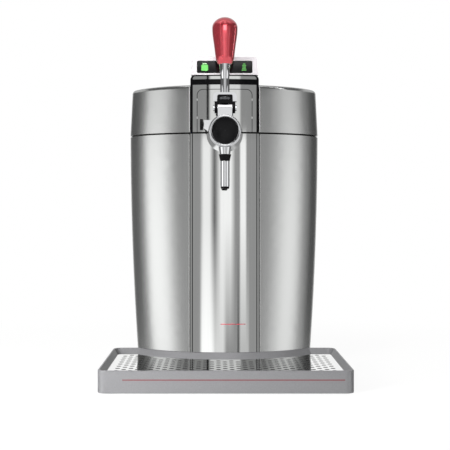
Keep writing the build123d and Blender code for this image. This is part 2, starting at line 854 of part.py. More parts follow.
def make_lid_foam():
    foam = lid_form(lid_wall + foam_gap, liner_top + fit_gap, lid_wall + foam_gap,
                    lid_edge_radius - lid_wall)
    stem = rod_along_z(coupler_stem_diameter / 2 + foam_gap, liner_bottom, line_height + 8,
                       0, well_centre_y)
    channel = rod_along_y(line_diameter / 2 + foam_gap, skin_front_y - 5, well_centre_y, 0, line_height)
    return foam - stem - channel


def make_lid_gasket():
    # soft ring under the liner that closes on the rim
    inner = gasket_inner / 2
    outer = inner + gasket_width
    bottom = rim_top + fit_gap
    ring = rod_along_z(outer, bottom, liner_bottom, 0, well_centre_y)
    return ring - rod_along_z(inner, bottom - 1, liner_bottom + 1, 0, well_centre_y)


def make_keg_coupler():
    # coupler that seals on the keg's valve when the lid is shut
    bottom = liner_bottom - coupler_drop
    disc = rod_along_z(coupler_diameter / 2, bottom + 4, liner_bottom, 0, well_centre_y)
    nose = cone_along_z(coupler_stem_diameter / 2 - 4, coupler_stem_diameter / 2, bottom, bottom + 4,
                        0, well_centre_y)
    stem = rod_along_z(coupler_stem_diameter / 2, liner_bottom, line_height + 7, 0, well_centre_y)
    barb_y = well_centre_y - coupler_stem_diameter / 2 - barb_length
    barb = rod_along_y(line_bore / 2 - running_gap, barb_y, well_centre_y, 0, line_height)
    body = disc + nose + stem + barb
    body -= rod_along_z(line_bore / 2, bottom - 1, line_height, 0, well_centre_y)
    return body - rod_along_y(barb_bore / 2, barb_y - 1, well_centre_y, 0, line_height)


def hinge_knuckle(x, start, length):
    # one knuckle of a hinge, bored for the pin
    knuckle = rod_along_x(knuckle_diameter / 2, x + start, x + start + length, hinge_axis_y, seam_height)
    bore = rod_along_x(hinge_pin_diameter / 2 + running_gap, x + start - 1, x + start + length + 1,
                       hinge_axis_y, seam_height)
    return knuckle, bore


def hinge_leaf(x, start, length, upward):
    # flat leaf on the rear wall that meets its knuckle
    front = body_rear_y + fit_gap
    rear = front + leaf_thickness
    near = seam_height + upward * (knuckle_diameter / 2 + 2 * fit_gap)
    far = seam_height + upward * leaf_height
    low = min(near, far)
    high = max(near, far)
    leaf = box_between(x - hinge_length / 2, x + hinge_length / 2, front, rear, low, high)
    neck_low = min(seam_height, near + upward * 2)
    neck_high = max(seam_height, near + upward * 2)
    neck = box_between(x + start, x + start + length, rear - leaf_thickness, hinge_axis_y,
                       neck_low, neck_high)
    return leaf, neck


def make_body_leaves():
    leaves = []
    third = hinge_length / 3
    for x in (-hinge_offset, hinge_offset):
        length = third - knuckle_gap
        first_knuckle, first_bore = hinge_knuckle(x, -hinge_length / 2, length)
        last_knuckle, last_bore = hinge_knuckle(x, third / 2 + knuckle_gap, length)
        leaf, first_neck = hinge_leaf(x, -hinge_length / 2, length, -1)
        last_neck = hinge_leaf(x, third / 2 + knuckle_gap, length, -1)[1]
        whole = leaf + first_neck + last_neck + first_knuckle + last_knuckle
        leaves.append(whole - first_bore - last_bore)
    return leaves


def make_lid_leaves():
    leaves = []
    third = hinge_length / 3
    for x in (-hinge_offset, hinge_offset):
        start = -third / 2
        knuckle, bore = hinge_knuckle(x, start, third)
        leaf, neck = hinge_leaf(x, start, third, 1)
        leaves.append(leaf + neck + knuckle - bore)
    return leaves


def make_hinge_pins():
    pins = []
    for x in (-hinge_offset, hinge_offset):
        reach = hinge_length / 2 + 1
        pins.append(rod_along_x(hinge_pin_diameter / 2, x - reach, x + reach, hinge_axis_y, seam_height))
    return pins


# ================================================================ head and display
def face_plates(gap):
    # the steel face of the head and the strip above it, grown all round by a gap
    width = panel_width + 2 * gap
    front = column_face_y - gap
    slab = arc_slab(width, front, face_thickness + 2 * gap, lid_bottom - gap, strip_top + gap)
    slab &= rounded_plate_y(width, lid_bottom - 2 * strip_corner, strip_top + gap,
                            front - head_wall, round_centre_y, strip_corner + gap)
    return slab - box_between(-width, width, front - head_wall, round_centre_y,
                              face_top + gap, strip_bottom - gap)


def make_head_shell():
    # black moulded head: the column's curve carried up over the lid, closed on top,
    # with pockets for the steel face and strip
    top = head_top
    width = head_width
    rear = column_face_y + head_depth
    block = arc_slab(width, column_face_y, head_depth + 20, lid_bottom, top)
    block &= box_between(-width, width, column_face_y - 5, rear, lid_bottom - 1, top + 1)
    upper = block.edges().filter_by(Axis.Y).group_by(Axis.Z)[-1]
    block = fillet(upper, head_corner)
    front_room_y = column_face_y + head_wall
    room = arc_slab(width - 2 * head_wall, front_room_y, head_depth + 20, lid_bottom - 1, top - head_wall)
    room &= box_between(-width, width, column_face_y - 5, rear - head_wall, lid_bottom - 2, top + 1)
    lid = lid_form(-head_lid_gap, lid_bottom - 5, -head_lid_gap, lid_edge_radius)
    hole = rod_along_y(line_diameter / 2 + channel_clearance, column_face_y - 5, column_face_y + 10,
                       0, line_height)
    return block - room - lid - hole - face_plates(fit_gap)


def plate_outline(gap):
    # upright prism with the tap plate's outline, grown by a gap
    return rounded_plate_y(plate_width + 2 * gap, lid_bottom - 2 * plate_corner, plate_top + gap,
                           column_face_y - head_wall, round_centre_y, plate_corner + gap)


def make_head_face():
    # steel face with the opening for the tap plate, and the strip over the black band
    return face_plates(0) - plate_outline(plate_gap)


def make_tap_plate():
    # removable plate that carries the tap
    hole = rod_along_y(line_diameter / 2 + channel_clearance, column_face_y - 5, column_face_y + 10,
                       0, line_height)
    return (face_plates(0) & plate_outline(0)) - hole


def make_plate_clips():
    # four small spring clips in the joint beside the plate's long edges
    clips = []
    inner = plate_width / 2 + clip_side_gap
    outer = plate_width / 2 + plate_gap - clip_side_gap
    front = column_face_y + column_radius - math.sqrt(column_radius ** 2 - inner ** 2)
    for level in (seam_height + clip_low_rise, seam_height + clip_high_rise):
        low = level - clip_height / 2
        high = level + clip_height / 2
        rear = front + face_thickness
        clips.append(box_between(inner, outer, front - clip_proud, rear, low, high))
        clips.append(box_between(-outer, -inner, front - clip_proud, rear, low, high))
    return clips


def display_block(inset):
    # wedge with a slightly sloping top, highest at the front, and sides that lean in
    bottom = head_top + fit_gap + inset
    front = column_face_y + display_setback + inset
    rear = front + display_depth - 2 * inset
    outline = Polyline((front, bottom), (rear, bottom), (rear, head_top + display_rear_height - inset),
                       (front + display_brow, display_top - inset), (front, display_top - inset),
                       close=True)
    face = make_face(Plane.YZ * outline)
    foot = display_width / 2 - inset
    brow = foot - display_draft
    sides = Polyline((-foot, bottom), (foot, bottom), (brow, display_top), (-brow, display_top),
                     close=True)
    prism = extrude(Plane.XZ * make_face(sides), 2 * overall_depth, both=True)
    return extrude(face, foot, both=True) & prism


def make_display_housing():
    block = display_block(0)
    top = block.faces().sort_by(Axis.Z)[-1]
    block = fillet(top.edges().filter_by(Axis.Y), display_corner)
    room = display_block(display_wall)
    window = rounded_plate_y(window_width, window_bottom, window_top, column_face_y - 5,
                             column_face_y + 10, window_corner)
    return block - room - window


def make_display_window():
    front = window_front_y
    pane = rounded_plate_y(window_width - 2 * fit_gap, window_bottom + fit_gap, window_top - fit_gap,
                           front, front + window_thickness, window_corner - fit_gap)
    return pane


def display_lamp(x, width):
    level = (window_bottom + window_top) / 2
    front = window_front_y + window_thickness + fit_gap
    return box_between(x - width / 2, x + width / 2, front, front + lamp_depth,
                       level - lamp_height / 2, level + lamp_height / 2)


def make_keg_lamp():
    return display_lamp(-lamp_offset_left, lamp_width_left)


def make_temperature_lamp():
    return display_lamp(lamp_offset_right, lamp_width_right)


def make_display_board():
    front = window_front_y + window_thickness + lamp_depth + 2 * fit_gap
    half = display_width / 2 - display_wall - 1.5
    return box_between(-half, half, front, front + board_thickness,
                       head_top + fit_gap + display_wall, window_top - 2.0)


# ================================================================ tap
def barrel_cone(grow):
    # the barrel's outer cone, front face included
    cone = Cone(barrel_rear_diameter / 2 + grow, barrel_front_diameter / 2 + grow, barrel_length)
    return Pos(0, (barrel_rear_y + barrel_front_y) / 2, tap_height) * Rot(90, 0, 0) * cone


def flow_boss():
    # flat-fronted block on the barrel's left, its underside running down to the barrel
    high = flow_height + flow_boss_height / 2
    low = flow_height - flow_boss_height / 2
    end = -flow_boss_end
    outline = Polyline((end, low), (0, low - flow_boss_drop), (0, high), (end, high), close=True)
    boss = extrude(Plane.XZ * make_face(outline), flow_boss_depth / 2, both=True)
    boss = fillet(boss.faces().sort_by(Axis.X)[0].edges(), flow_boss_edge)
    return Pos(0, flow_y, 0) * boss


def make_tap_barrel():
    # chrome body of the tap: flared barrel, lever block on top, flow boss on the left
    barrel = barrel_cone(0)
    front = barrel.faces().sort_by(Axis.Y)[0]
    barrel = fillet(front.edges(), barrel_edge)
    block = box_between(-block_width / 2, block_width / 2, lever_y - block_depth / 2,
                        lever_y + block_depth / 2, tap_height, block_top)
    block = fillet(block.edges().filter_by(Axis.X).group_by(Axis.Z)[-1], block_corner)
    body = barrel + block + flow_boss()
    body -= beer_channel(line_diameter / 2 + channel_clearance)
    body -= rod_along_z(spigot_diameter / 2 + fit_gap, spout_tip_bottom, spigot_top + fit_gap, 0, spout_y)
    body -= rod_along_x(pivot_diameter / 2 + running_gap, -block_width, block_width, lever_y, pivot_height)
    body -= rod_along_x(cam_offset + cam_diameter / 2 + 0.8, -cam_width / 2 - 0.4, cam_width / 2 + 0.4,
                        lever_y, pivot_height)
    body -= rod_along_z(plunger_diameter / 2 + fit_gap, line_height, pivot_height, 0, lever_y)
    body -= rod_along_x(flow_stem_diameter / 2 + running_gap, -flow_boss_end - 1,
                        -flow_boss_end + flow_stem_length + 1, flow_y, flow_height)
    plate = Pos(0, column_face_y + column_radius, tap_height) * Cylinder(
        column_radius + fit_gap, 4 * barrel_rear_diameter)
    return body - plate


def make_tap_ring():
    # polished bezel: a shallow cup with a rolled rim
    outer = ring_diameter / 2
    inner = outer - ring_rim
    start = ring_length - ring_rim / 2
    floor = ring_floor
    back = Polyline((inner, start), (inner, floor), (0, floor), (0, 0), (outer - ring_chamfer, 0),
                    (outer, ring_chamfer), (outer, start))
    roll = ThreePointArc((outer, start), (outer - ring_rim / 2, ring_length), (inner, start))
    ring = revolve(make_face([back, roll]), Axis.Y)
    return Pos(0, ring_rear_y, tap_height) * Rot(180, 0, 0) * ring


def make_medallion():
    # plain glossy disc, slightly crowned
    radius = ring_diameter / 2 - ring_rim - fit_gap
    start = ring_floor + fit_gap
    edge = ring_length - ring_rim / 2
    crown = edge + medallion_crown
    dome_radius = (radius ** 2 + medallion_crown ** 2) / (2 * medallion_crown)
    dome_turn = math.degrees(math.asin(radius / dome_radius))
    side = Line((radius, start), (radius, edge))
    dome = CenterArc((0, crown - dome_radius), dome_radius, 90 - dome_turn, dome_turn)
    axis_line = Line((0, crown), (0, start))
    back = Line((0, start), (radius, start))
    disc = revolve(make_face([back, side, dome, axis_line]), Axis.Y)
    return Pos(0, ring_rear_y, tap_height) * Rot(180, 0, 0) * disc


def make_spout_cone():
    top = spigot_top - spigot_rise + 4
    cone = cone_along_z(cone_bottom_diameter / 2, cone_top_diameter / 2, cone_bottom, top, 0, spout_y)
    cone -= barrel_cone(fit_gap)
    cone -= rod_along_y(ring_diameter / 2 + fit_gap, ring_rear_y - ring_length - 1, barrel_front_y + 1,
                        0, tap_height)
    spigot = rod_along_z(spigot_diameter / 2, cone_bottom + 1, spigot_top, 0, spout_y)
    bore = rod_along_z(line_diameter / 2 + channel_clearance, cone_bottom - 1, spigot_top + 1,
                       0, spout_y)
    return cone + spigot - bore


def make_spout_collar():
    collar = cone_along_z(collar_bottom_diameter / 2, collar_top_diameter / 2, collar_bottom,
                          cone_bottom - fit_gap, 0, spout_y)
    bore = rod_along_z(line_diameter / 2 + channel_clearance, collar_bottom - 1, cone_bottom + 1,
                       0, spout_y)
    return collar - bore


def make_spout_tube():
    top = collar_bottom - fit_gap
    tube = rod_along_z(spout_tube_diameter / 2, spout_tube_bottom, top, 0, spout_y)
    bore = rod_along_z(line_diameter / 2 + channel_clearance, spout_tube_bottom - 1, top + 1, 0, spout_y)
    return tube - bore


def make_spout_tip():
    top = spout_tube_bottom - fit_gap / 3
    tip = rod_along_z(spout_tip_diameter / 2, spout_tip_bottom, top, 0, spout_y)
    tip = fillet(tip.faces().sort_by(Axis.Z)[0].edges(), 1.6)
    bore = rod_along_z(line_diameter / 2 + 0.3, spout_tip_bottom - 1, top + 1, 0, spout_y)
    return tip - bore


def make_beer_line():
    # silicone line from the coupler to the spout's end
    return beer_channel(line_diameter / 2) - beer_channel(line_bore / 2)


def make_pinch_plunger():
    # presses the line shut under the lever's cam
    return rod_along_z(plunger_diameter / 2, plunger_bottom, plunger_top, 0, lever_y)


def make_flow_knob():
    # ribbed knob on a short stem, left of the barrel
    ribs = flow_knob_ribs
    outer = flow_knob_diameter / 2
    points = []
    for i in range(2 * ribs):
        turn = math.pi * i / ribs
        radius = outer if i % 2 == 0 else outer - flow_knob_rib_depth
        points.append((radius * math.cos(turn), radius * math.sin(turn)))
    wheel = extrude(Plane.YZ * make_face(Polyline(*points, close=True)), flow_knob_thickness)
    x = -flow_boss_end - fit_gap - flow_knob_thickness
    wheel = Pos(x, flow_y, flow_height) * wheel
    stem = rod_along_x(flow_stem_diameter / 2, x + 1, -flow_boss_end + flow_stem_length, flow_y, flow_height)
    return wheel + stem


# ================================================================ lever
def make_lever_yoke():
    # chrome strap with a rounded top, over the black fork
    half = yoke_width / 2
    gap = yoke_opening / 2
    y0 = lever_y - yoke_depth / 2
    y1 = lever_y + yoke_depth / 2
    strap = box_between(-half, half, y0, y1, yoke_foot, yoke_top)
    strap = fillet(strap.edges().filter_by(Axis.Y).group_by(Axis.Z)[-1], yoke_corner)
    opening = box_between(-gap, gap, y0 - 1, y1 + 1, pivot_height, yoke_top - yoke_bridge)
    strap -= fillet(opening.edges().filter_by(Axis.Y).group_by(Axis.Z)[-1], yoke_corner / 2)
    return strap - rod_along_z(stud_diameter / 2 + running_gap, nut_level, yoke_top + 1, 0, lever_y)


def make_lever_fork():
    # black moulded fork: a bridge inside the strap that holds the nut, and two cheeks with eyes
    half = fork_width / 2
    bridge_half = yoke_opening / 2 - fit_gap
    bridge_top = yoke_top - yoke_bridge - fit_gap
    y0 = lever_y - yoke_depth / 2
    y1 = lever_y + yoke_depth / 2
    bridge = box_between(-bridge_half, bridge_half, y0, y1, pivot_height, bridge_top)
    bridge = fillet(bridge.edges().filter_by(Axis.Y).group_by(Axis.Z)[-1], yoke_corner / 2)
    fork = bridge + box_between(-half, half, y0, y1, pivot_height, yoke_foot - fit_gap)
    fork += rod_along_x(fork_eye_diameter / 2, -half, half, lever_y, pivot_height)
    clear = block_width / 2 + fork_block_gap
    fork -= rod_along_x(fork_swing_radius, -clear, clear, lever_y, pivot_height)
    fork -= rod_along_x(pivot_diameter / 2 + running_gap, -half - 1, half + 1, lever_y, pivot_height)
    fork -= rod_along_z(nut_diameter / 2 + fit_gap, nut_level - fit_gap,
                        nut_level + nut_thickness + fit_gap, 0, lever_y)
    return fork - rod_along_z(washer_diameter / 2 + fit_gap, nut_level, bridge_top + 1, 0, lever_y)


def make_cam_pin():
    # pivot pin with domed ends and an eccentric cam in the middle
    reach = fork_width / 2
    pin = rod_along_x(pivot_diameter / 2, -reach, reach, lever_y, pivot_height)
    for side in (-1, 1):
        inner = side * (reach + fit_gap / 3)
        outer = side * (reach + pivot_head_length)
        head = rod_along_x(pivot_head_diameter / 2, min(inner, outer), max(inner, outer),
                           lever_y, pivot_height)
        neck = rod_along_x(pivot_diameter / 2, min(side * reach, inner) - 0.1, max(side * reach, inner) + 0.1,
                           lever_y, pivot_height)
        pin += head + neck
    cam = rod_along_x(cam_diameter / 2, -cam_width / 2, cam_width / 2, lever_y, pivot_height - cam_offset)
    return pin + cam


def make_lever_rod():
    rod = rod_along_z(rod_diameter / 2, yoke_top, rod_top, 0, lever_y)
    return rod + rod_along_z(stud_diameter / 2, nut_level - 0.3, stud_top, 0, lever_y)


def make_lever_nut():
    nut = rod_along_z(nut_diameter / 2, nut_level, nut_level + nut_thickness, 0, lever_y)
    nut = fillet(nut.edges(), 0.8)
    washer_top = yoke_top - yoke_bridge
    washer = rod_along_z(washer_diameter / 2, nut_level + nut_thickness - 0.5, washer_top, 0, lever_y)
    bore = rod_along_z(stud_diameter / 2 + running_gap, nut_level - 1, washer_top + 1, 0, lever_y)
    return nut + washer - bore


def make_lever_ferrule():
    ferrule = cone_along_z(ferrule_bottom_diameter / 2, ferrule_top_diameter / 2, rod_top,
                           grip_bottom, 0, lever_y)
    return ferrule - rod_along_z(stud_diameter / 2 + running_gap, rod_top - 1, grip_bottom + 1, 0, lever_y)


def make_lever_grip():
    # teardrop grip: short flare, long cone, rounded head
    neck = grip_neck_diameter / 2
    low = grip_low_diameter / 2
    wide = grip_diameter / 2
    low_z = grip_bottom + grip_low_rise
    cap = grip_top - grip_widest
    flare = ThreePointArc((neck, grip_bottom), ((neck + low) / 2 + 0.45, grip_bottom + grip_low_rise * 0.42),
                          (low, low_z))
    side = Spline([(low, low_z), ((low + wide) / 2 + 0.2, (low_z + grip_widest) / 2), (wide, grip_widest)],
                  tangents=[(0.12, 1), (0, 1)])
    head = Spline([(wide, grip_widest), (wide * 0.72, grip_widest + cap * 0.7), (0, grip_top)],
                  tangents=[(0, 1), (-1, 0)])
    middle = Line((0, grip_top), (0, grip_bottom))
    foot = Line((0, grip_bottom), (neck, grip_bottom))
    grip = revolve(Plane.XZ * make_face([flare, side, head, middle, foot]), Axis.Z)
    grip = Pos(0, lever_y, 0) * grip
    return grip - rod_along_z(stud_diameter / 2 + running_gap, grip_bottom - 1, stud_top + 0.3, 0, lever_y)


# ================================================================ drip tray
def tray_plan(side_inset, front_inset, rear_inset, arc_inset, corner):
    # plan of the tray: a rounded rectangle, hollowed behind to the cabinet's front
    half = tray_width / 2 - side_inset
    front = tray_front_y + front_inset
    rear = tray_rear_y - rear_inset
    plan = Pos(0, (front + rear) / 2) * RectangleRounded(2 * half, rear - front, corner)
    a = side_half_width(tray_height) + tray_body_gap + arc_inset
    b = round_centre_y - column_face_y + tray_column_gap + arc_inset
    return plan - Pos(0, round_centre_y) * Ellipse(a, b)


def tray_block(plan, bottom, top):
    return Pos(0, 0, bottom) * extrude(plan, top - bottom)


def make_drip_tray():
    # skirt, a rim that slopes down to the grid, and a basin below it
    wall = tray_wall
    outer = tray_plan(0, 0, 0, 0, tray_corner)
    skirt = tray_block(outer, tray_skirt_lift, tray_height)
    outside = skirt.faces().sort_by(Axis.Z)[-1].edges().filter_by(GeomType.ELLIPSE, reverse=True)
    skirt = fillet(outside, tray_edge)
    inside = tray_plan(wall, wall, wall, wall, tray_corner - wall)
    skirt -= tray_block(inside, tray_skirt_lift - 1, grid_bottom - wall)
    ledge = tray_ledge
    pit = tray_plan(tray_rim_side + ledge, tray_rim_front + ledge, tray_rim_rear + ledge,
                    tray_rim_rear + ledge, tray_rear_corner)
    cup = tray_plan(tray_rim_side + ledge - wall, tray_rim_front + ledge - wall,
                    tray_rim_rear + ledge - wall, tray_rim_rear + ledge - wall, tray_rear_corner + wall)
    seat = tray_plan(tray_rim_side, tray_rim_front, tray_rim_rear, tray_rim_rear, tray_rear_corner)
    tray = skirt + tray_block(cup, tray_floor - wall, grid_bottom - wall / 2)
    tray -= tray_block(pit, tray_floor, tray_height + 1)
    tray -= tray_block(seat, grid_bottom, tray_height + 1)
    top = tray.faces().sort_by(Axis.Z)[-1]
    return chamfer(top.inner_wires()[0].edges(), tray_slope_width, tray_slope_drop, reference=top)


def make_tray_pads():
    pads = []
    reach = tray_width / 2 - tray_pad_side
    for x in (-reach, reach):
        for y in (tray_front_y + tray_pad_front, tray_rear_y - tray_pad_rear):
            pads.append(rod_along_z(tray_pad_diameter / 2, 0, tray_floor - tray_wall, x, y))
    return pads


def grid_hole_places():
    # staggered rows of holes, kept off the edges
    places = []
    half = tray_width / 2 - tray_rim_side - grid_margin
    front = tray_front_y + tray_rim_front + grid_margin
    rear = tray_rear_y - tray_rim_rear - grid_margin
    a = side_half_width(tray_height) + tray_body_gap + tray_rim_rear + grid_margin
    b = round_centre_y - column_face_y + tray_column_gap + tray_rim_rear + grid_margin
    rows = int((rear - front) / (grid_row_pitch / 2)) + 1
    for row in range(rows):
        y = front + row * grid_row_pitch / 2
        shift = grid_column_pitch / 2 if row % 2 else 0.0
        count = int((half + shift) / grid_column_pitch)
        for i in range(-count, count + 1):
            x = i * grid_column_pitch + shift
            in_arc = (x / a) ** 2 + ((y - round_centre_y) / b) ** 2 < 1
            if abs(x) <= half and not in_arc:
                places.append((x, y))
    return places


def make_drip_grid():
    # polished plate with staggered holes; six-sided here
    fit = grid_fit
    plan = tray_plan(tray_rim_side + fit, tray_rim_front + fit, tray_rim_rear + fit,
                     tray_rim_rear + fit, tray_rear_corner - fit)
    hole = RegularPolygon(grid_hole_diameter / 2, 6)
    plan -= [Pos(x, y) * hole for x, y in grid_hole_places()]
    return tray_block(plan, grid_bottom, grid_top)


# ================================================================ every piece, by name
pieces = {
    "body_shell": make_body_shell,
    "base_plate": make_base_plate,
    "rubber_feet": make_rubber_feet,
    "base_screws": make_base_screws,
    "top_rim": make_top_rim,
    "keg_well": make_keg_well,
    "insulation": make_insulation,
    "bulkhead": make_bulkhead,
    "front_panel": make_front_panel,
    "panel_trim": make_panel_trim,
    "panel_seals": make_panel_seals,
    "cold_block": make_cold_block,
    "peltier_module": make_peltier_module,
    "heat_sink": make_heat_sink,
    "fan_frame": make_fan_frame,
    "fan_rotor": make_fan_rotor,
    "power_board": make_power_board,
    "board_standoffs": make_board_standoffs,
    "rear_cover": make_rear_cover,
    "rear_screws": make_rear_screws,
    "mains_inlet": make_mains_inlet,
    "switch_housing": make_switch_housing,
    "switch_rocker": make_switch_rocker,
    "body_hinge_leaves": make_body_leaves,
    "hinge_pins": make_hinge_pins,
    "lid_hinge_leaves": make_lid_leaves,
    "lid_shell": make_lid_shell,
    "lid_liner": make_lid_liner,
    "lid_foam": make_lid_foam,
    "lid_gasket": make_lid_gasket,
    "keg_coupler": make_keg_coupler,
    "head_shell": make_head_shell,
    "head_face": make_head_face,
    "tap_plate": make_tap_plate,
    "plate_clips": make_plate_clips,
    "display_housing": make_display_housing,
    "display_window": make_display_window,
    "keg_lamp": make_keg_lamp,
    "temperature_lamp": make_temperature_lamp,
    "display_board": make_display_board,
    "tap_barrel": make_tap_barrel,
    "tap_ring": make_tap_ring,
    "tap_medallion": make_medallion,
    "spout_cone": make_spout_cone,
    "spout_collar": make_spout_collar,
    "spout_tube": make_spout_tube,
    "spout_tip": make_spout_tip,
    "beer_line": make_beer_line,
    "pinch_plunger": make_pinch_plunger,
    "flow_knob": make_flow_knob,
    "lever_yoke": make_lever_yoke,
    "lever_fork": make_lever_fork,
    "cam_pin": make_cam_pin,
    "lever_rod": make_lever_rod,
    "lever_nut": make_lever_nut,
    "lever_ferrule": make_lever_ferrule,
    "lever_grip": make_lever_grip,
    "drip_tray": make_drip_tray,
    "tray_pads": make_tray_pads,
    "drip_grid": make_drip_grid,
}

os.makedirs("parts", exist_ok=True)
for name, make in pieces.items():
    shape = make()
    if isinstance(shape, list):
        shape = Compound(children=shape)
    export_step(shape, "parts/" + name + ".step")
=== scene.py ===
# Mini keg beer dispenser: finishes, fine detail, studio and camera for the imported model
import bpy
import bmesh
import math
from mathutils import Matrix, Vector


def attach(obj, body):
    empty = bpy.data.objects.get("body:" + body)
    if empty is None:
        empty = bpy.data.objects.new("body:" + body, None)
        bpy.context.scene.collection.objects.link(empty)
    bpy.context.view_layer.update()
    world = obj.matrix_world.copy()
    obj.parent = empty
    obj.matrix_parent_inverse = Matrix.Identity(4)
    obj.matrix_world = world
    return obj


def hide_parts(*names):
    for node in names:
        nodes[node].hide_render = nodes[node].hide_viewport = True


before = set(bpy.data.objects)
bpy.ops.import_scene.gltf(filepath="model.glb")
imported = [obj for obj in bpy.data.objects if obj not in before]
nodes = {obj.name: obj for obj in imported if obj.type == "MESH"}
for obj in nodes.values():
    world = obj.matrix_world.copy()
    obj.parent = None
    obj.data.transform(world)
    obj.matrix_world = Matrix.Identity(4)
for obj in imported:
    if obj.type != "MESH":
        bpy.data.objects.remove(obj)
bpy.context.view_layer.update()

mm = 0.001
bpy.context.scene.view_settings.view_transform = "Standard"
print("frame loaded:", len(nodes), "nodes")


def hexColour(code):
    # sRGB hex to the linear colour that a shader socket takes
    parts = [int(code[i:i + 2], 16) / 255 for i in (1, 3, 5)]
    linear = [p / 12.92 if p <= 0.04045 else ((p + 0.055) / 1.055) ** 2.4 for p in parts]
    return (*linear, 1.0)


def addNode(tree, kind, settings=None, **inputs):
    # one node: settings are its own properties, inputs are values or sockets to link
    node = tree.nodes.new(kind)
    for name, value in (settings or {}).items():
        setattr(node, name, value)
    for name, value in inputs.items():
        key = int(name[1:]) if name[0] == "i" and name[1:].isdigit() else name.replace("_", " ")
        socket = node.inputs[key]
        if isinstance(value, bpy.types.NodeSocket):
            tree.links.new(value, socket)
        else:
            socket.default_value = value
    return node


def newMaterial(name, colour, metallic=0.0, roughness=0.5, **sockets):
    # a Principled material: returns it with its tree and shader
    material = bpy.data.materials.new(name)
    material.use_nodes = True
    tree = material.node_tree
    tree.nodes.clear()
    shader = addNode(tree, "ShaderNodeBsdfPrincipled", Base_Color=hexColour(colour),
                     Metallic=metallic, Roughness=roughness, **sockets)
    addNode(tree, "ShaderNodeOutputMaterial", Surface=shader.outputs["BSDF"])
    return material, tree, shader


def stretched(tree, acrossMm, alongMm, detail=2.0, alongAxis="z"):
    # noise drawn out along one axis; the sizes are those of one streak
    across, along = 1 / (acrossMm * mm), 1 / (alongMm * mm)
    scale = {"x": (along, across, across), "y": (across, along, across), "z": (across, across, along)}
    coord = addNode(tree, "ShaderNodeTexCoord").outputs["Object"]
    place = addNode(tree, "ShaderNodeMapping", Vector=coord, Scale=scale[alongAxis])
    noise = addNode(tree, "ShaderNodeTexNoise", Vector=place.outputs[0], Scale=1.0, Detail=detail,
                    Roughness=0.55)
    return noise.outputs["Fac"]


def spread(tree, value, low, high):
    # a 0..1 value stretched to low..high
    node = addNode(tree, "ShaderNodeMapRange", i0=value, i1=0.25, i2=0.75, i3=low, i4=high)
    return node.outputs[0]


def tinted(tree, value, dark, light):
    # a value turned into a colour between two hex values
    mix = addNode(tree, "ShaderNodeMix", {"data_type": "RGBA"}, i0=value, i6=hexColour(dark),
                  i7=hexColour(light))
    return mix.outputs[2]


def relief(tree, shader, height, depthMm, strength=1.0):
    bump = addNode(tree, "ShaderNodeBump", Strength=strength, Distance=depthMm * mm, Height=height)
    tree.links.new(bump.outputs[0], shader.inputs["Normal"])


def dress(material, *names):
    for name in names:
        slots = nodes[name].data.materials
        slots.clear()
        slots.append(material)


def meshPiece(name, mesh, body, material=None, smooth=False):
    # a finished mesh as a piece that rides on a body
    piece = bpy.data.objects.new(name, mesh)
    bpy.context.scene.collection.objects.link(piece)
    if material:
        mesh.materials.clear()
        mesh.materials.append(material)
    mesh.polygons.foreach_set("use_smooth", [smooth] * len(mesh.polygons))
    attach(piece, body)
    return piece


# camera: at the tap's height, a little left of the middle
cameraView = {"place": (-0.013, -1.3275, 0.2175), "lens": 73.28, "shift": (0.0222, -0.0289)}
cameraData = bpy.data.cameras.new("camera")
cameraData.sensor_width = 36.0
cameraData.lens = cameraView["lens"]
cameraData.shift_x, cameraData.shift_y = cameraView["shift"]
camera = bpy.data.objects.new("camera", cameraData)
camera.location = cameraView["place"]
camera.rotation_euler = (math.radians(90), 0, 0)
bpy.context.scene.collection.objects.link(camera)
bpy.context.scene.camera = camera
print("camera set")


# studio: a round wall of soft boxes and dark flags that the steel shows
studio = {
    # soft boxes and flags on a plain wall, in degrees round from the camera, left negative:
    # from, to, soft edge, brightness
    "aroundWall": 0.36,
    "around": [(-180, -160, 8, 0.9), (-140, -105, 12, 0.15), (-75, -52, 14, 1.6), (54, 68, 20, 1.3),
               (108, 140, 14, 0.1), (160, 180, 8, 0.9)],
    # beside the camera: below it, level with it, and above it
    "lowWall": 0.4,
    "low": [(-16, -9, 2, 1.5), (-6.5, -0.5, 2.5, 1.0), (10.3, 10.9, 0.5, 0.1), (12.2, 18, 1, 0.7)],
    "levelWall": 0.4,
    "level": [(-15, -10.5, 2.5, 1.2), (-7.2, -6.4, 0.6, 0.2), (-2, 5, 3.5, 1.3), (12.5, 16, 1, 1.3)],
    "highWall": 0.6,
    "high": [(-12.5, -11.3, 0.3, 0.0), (-9.5, 11.5, 1.3, 1.6)],
    # sine of the height above the horizon, brightness
    "rise": [(-1.0, 0.4), (-0.2, 1.0), (0.08, 1.0), (0.09, 0.6), (0.2, 0.6), (0.35, 0.1), (0.6, 0.1),
             (0.75, 0.8), (1.0, 1.0)],
    # where one band of the wall turns into the next, as sines of the height
    "lowToLevel": (-0.15, -0.008), "levelToHigh": (0.0858, 0.0868),
    # where the boxes beside the camera end, in degrees to either side
    "frontEnd": (27.0, 29.5),
    # brightness of the box low behind the object, the light high behind it, and the pale table below
    "rear": 1.85, "sky": 0.6, "table": 0.8,
    "rearSide": (150.0, 158.0), "rearRise": (0.125, 0.145), "skySide": (80.0, 100.0), "skyRise": (0.20, 0.30),
    "tableRise": (-0.20, -0.30),
    "peak": 2.2,
    "floorColour": "#f4f4f3",
    "floorRadius": 0.62,
}


def ramp(tree, value, stops, low, high, peak=1.0):
    # brightness read off a list of (place, value) stops
    place = addNode(tree, "ShaderNodeMapRange", i0=value, i1=low, i2=high)
    node = addNode(tree, "ShaderNodeValToRGB", Fac=place.outputs[0])
    elements = node.color_ramp.elements
    while len(elements) < len(stops):
        elements.new(0.5)
    for element, (at, bright) in zip(elements, stops):
        element.position = (at - low) / (high - low)
        level = bright / peak
        element.color = (level, level, level, 1.0)
    return node.outputs[0]


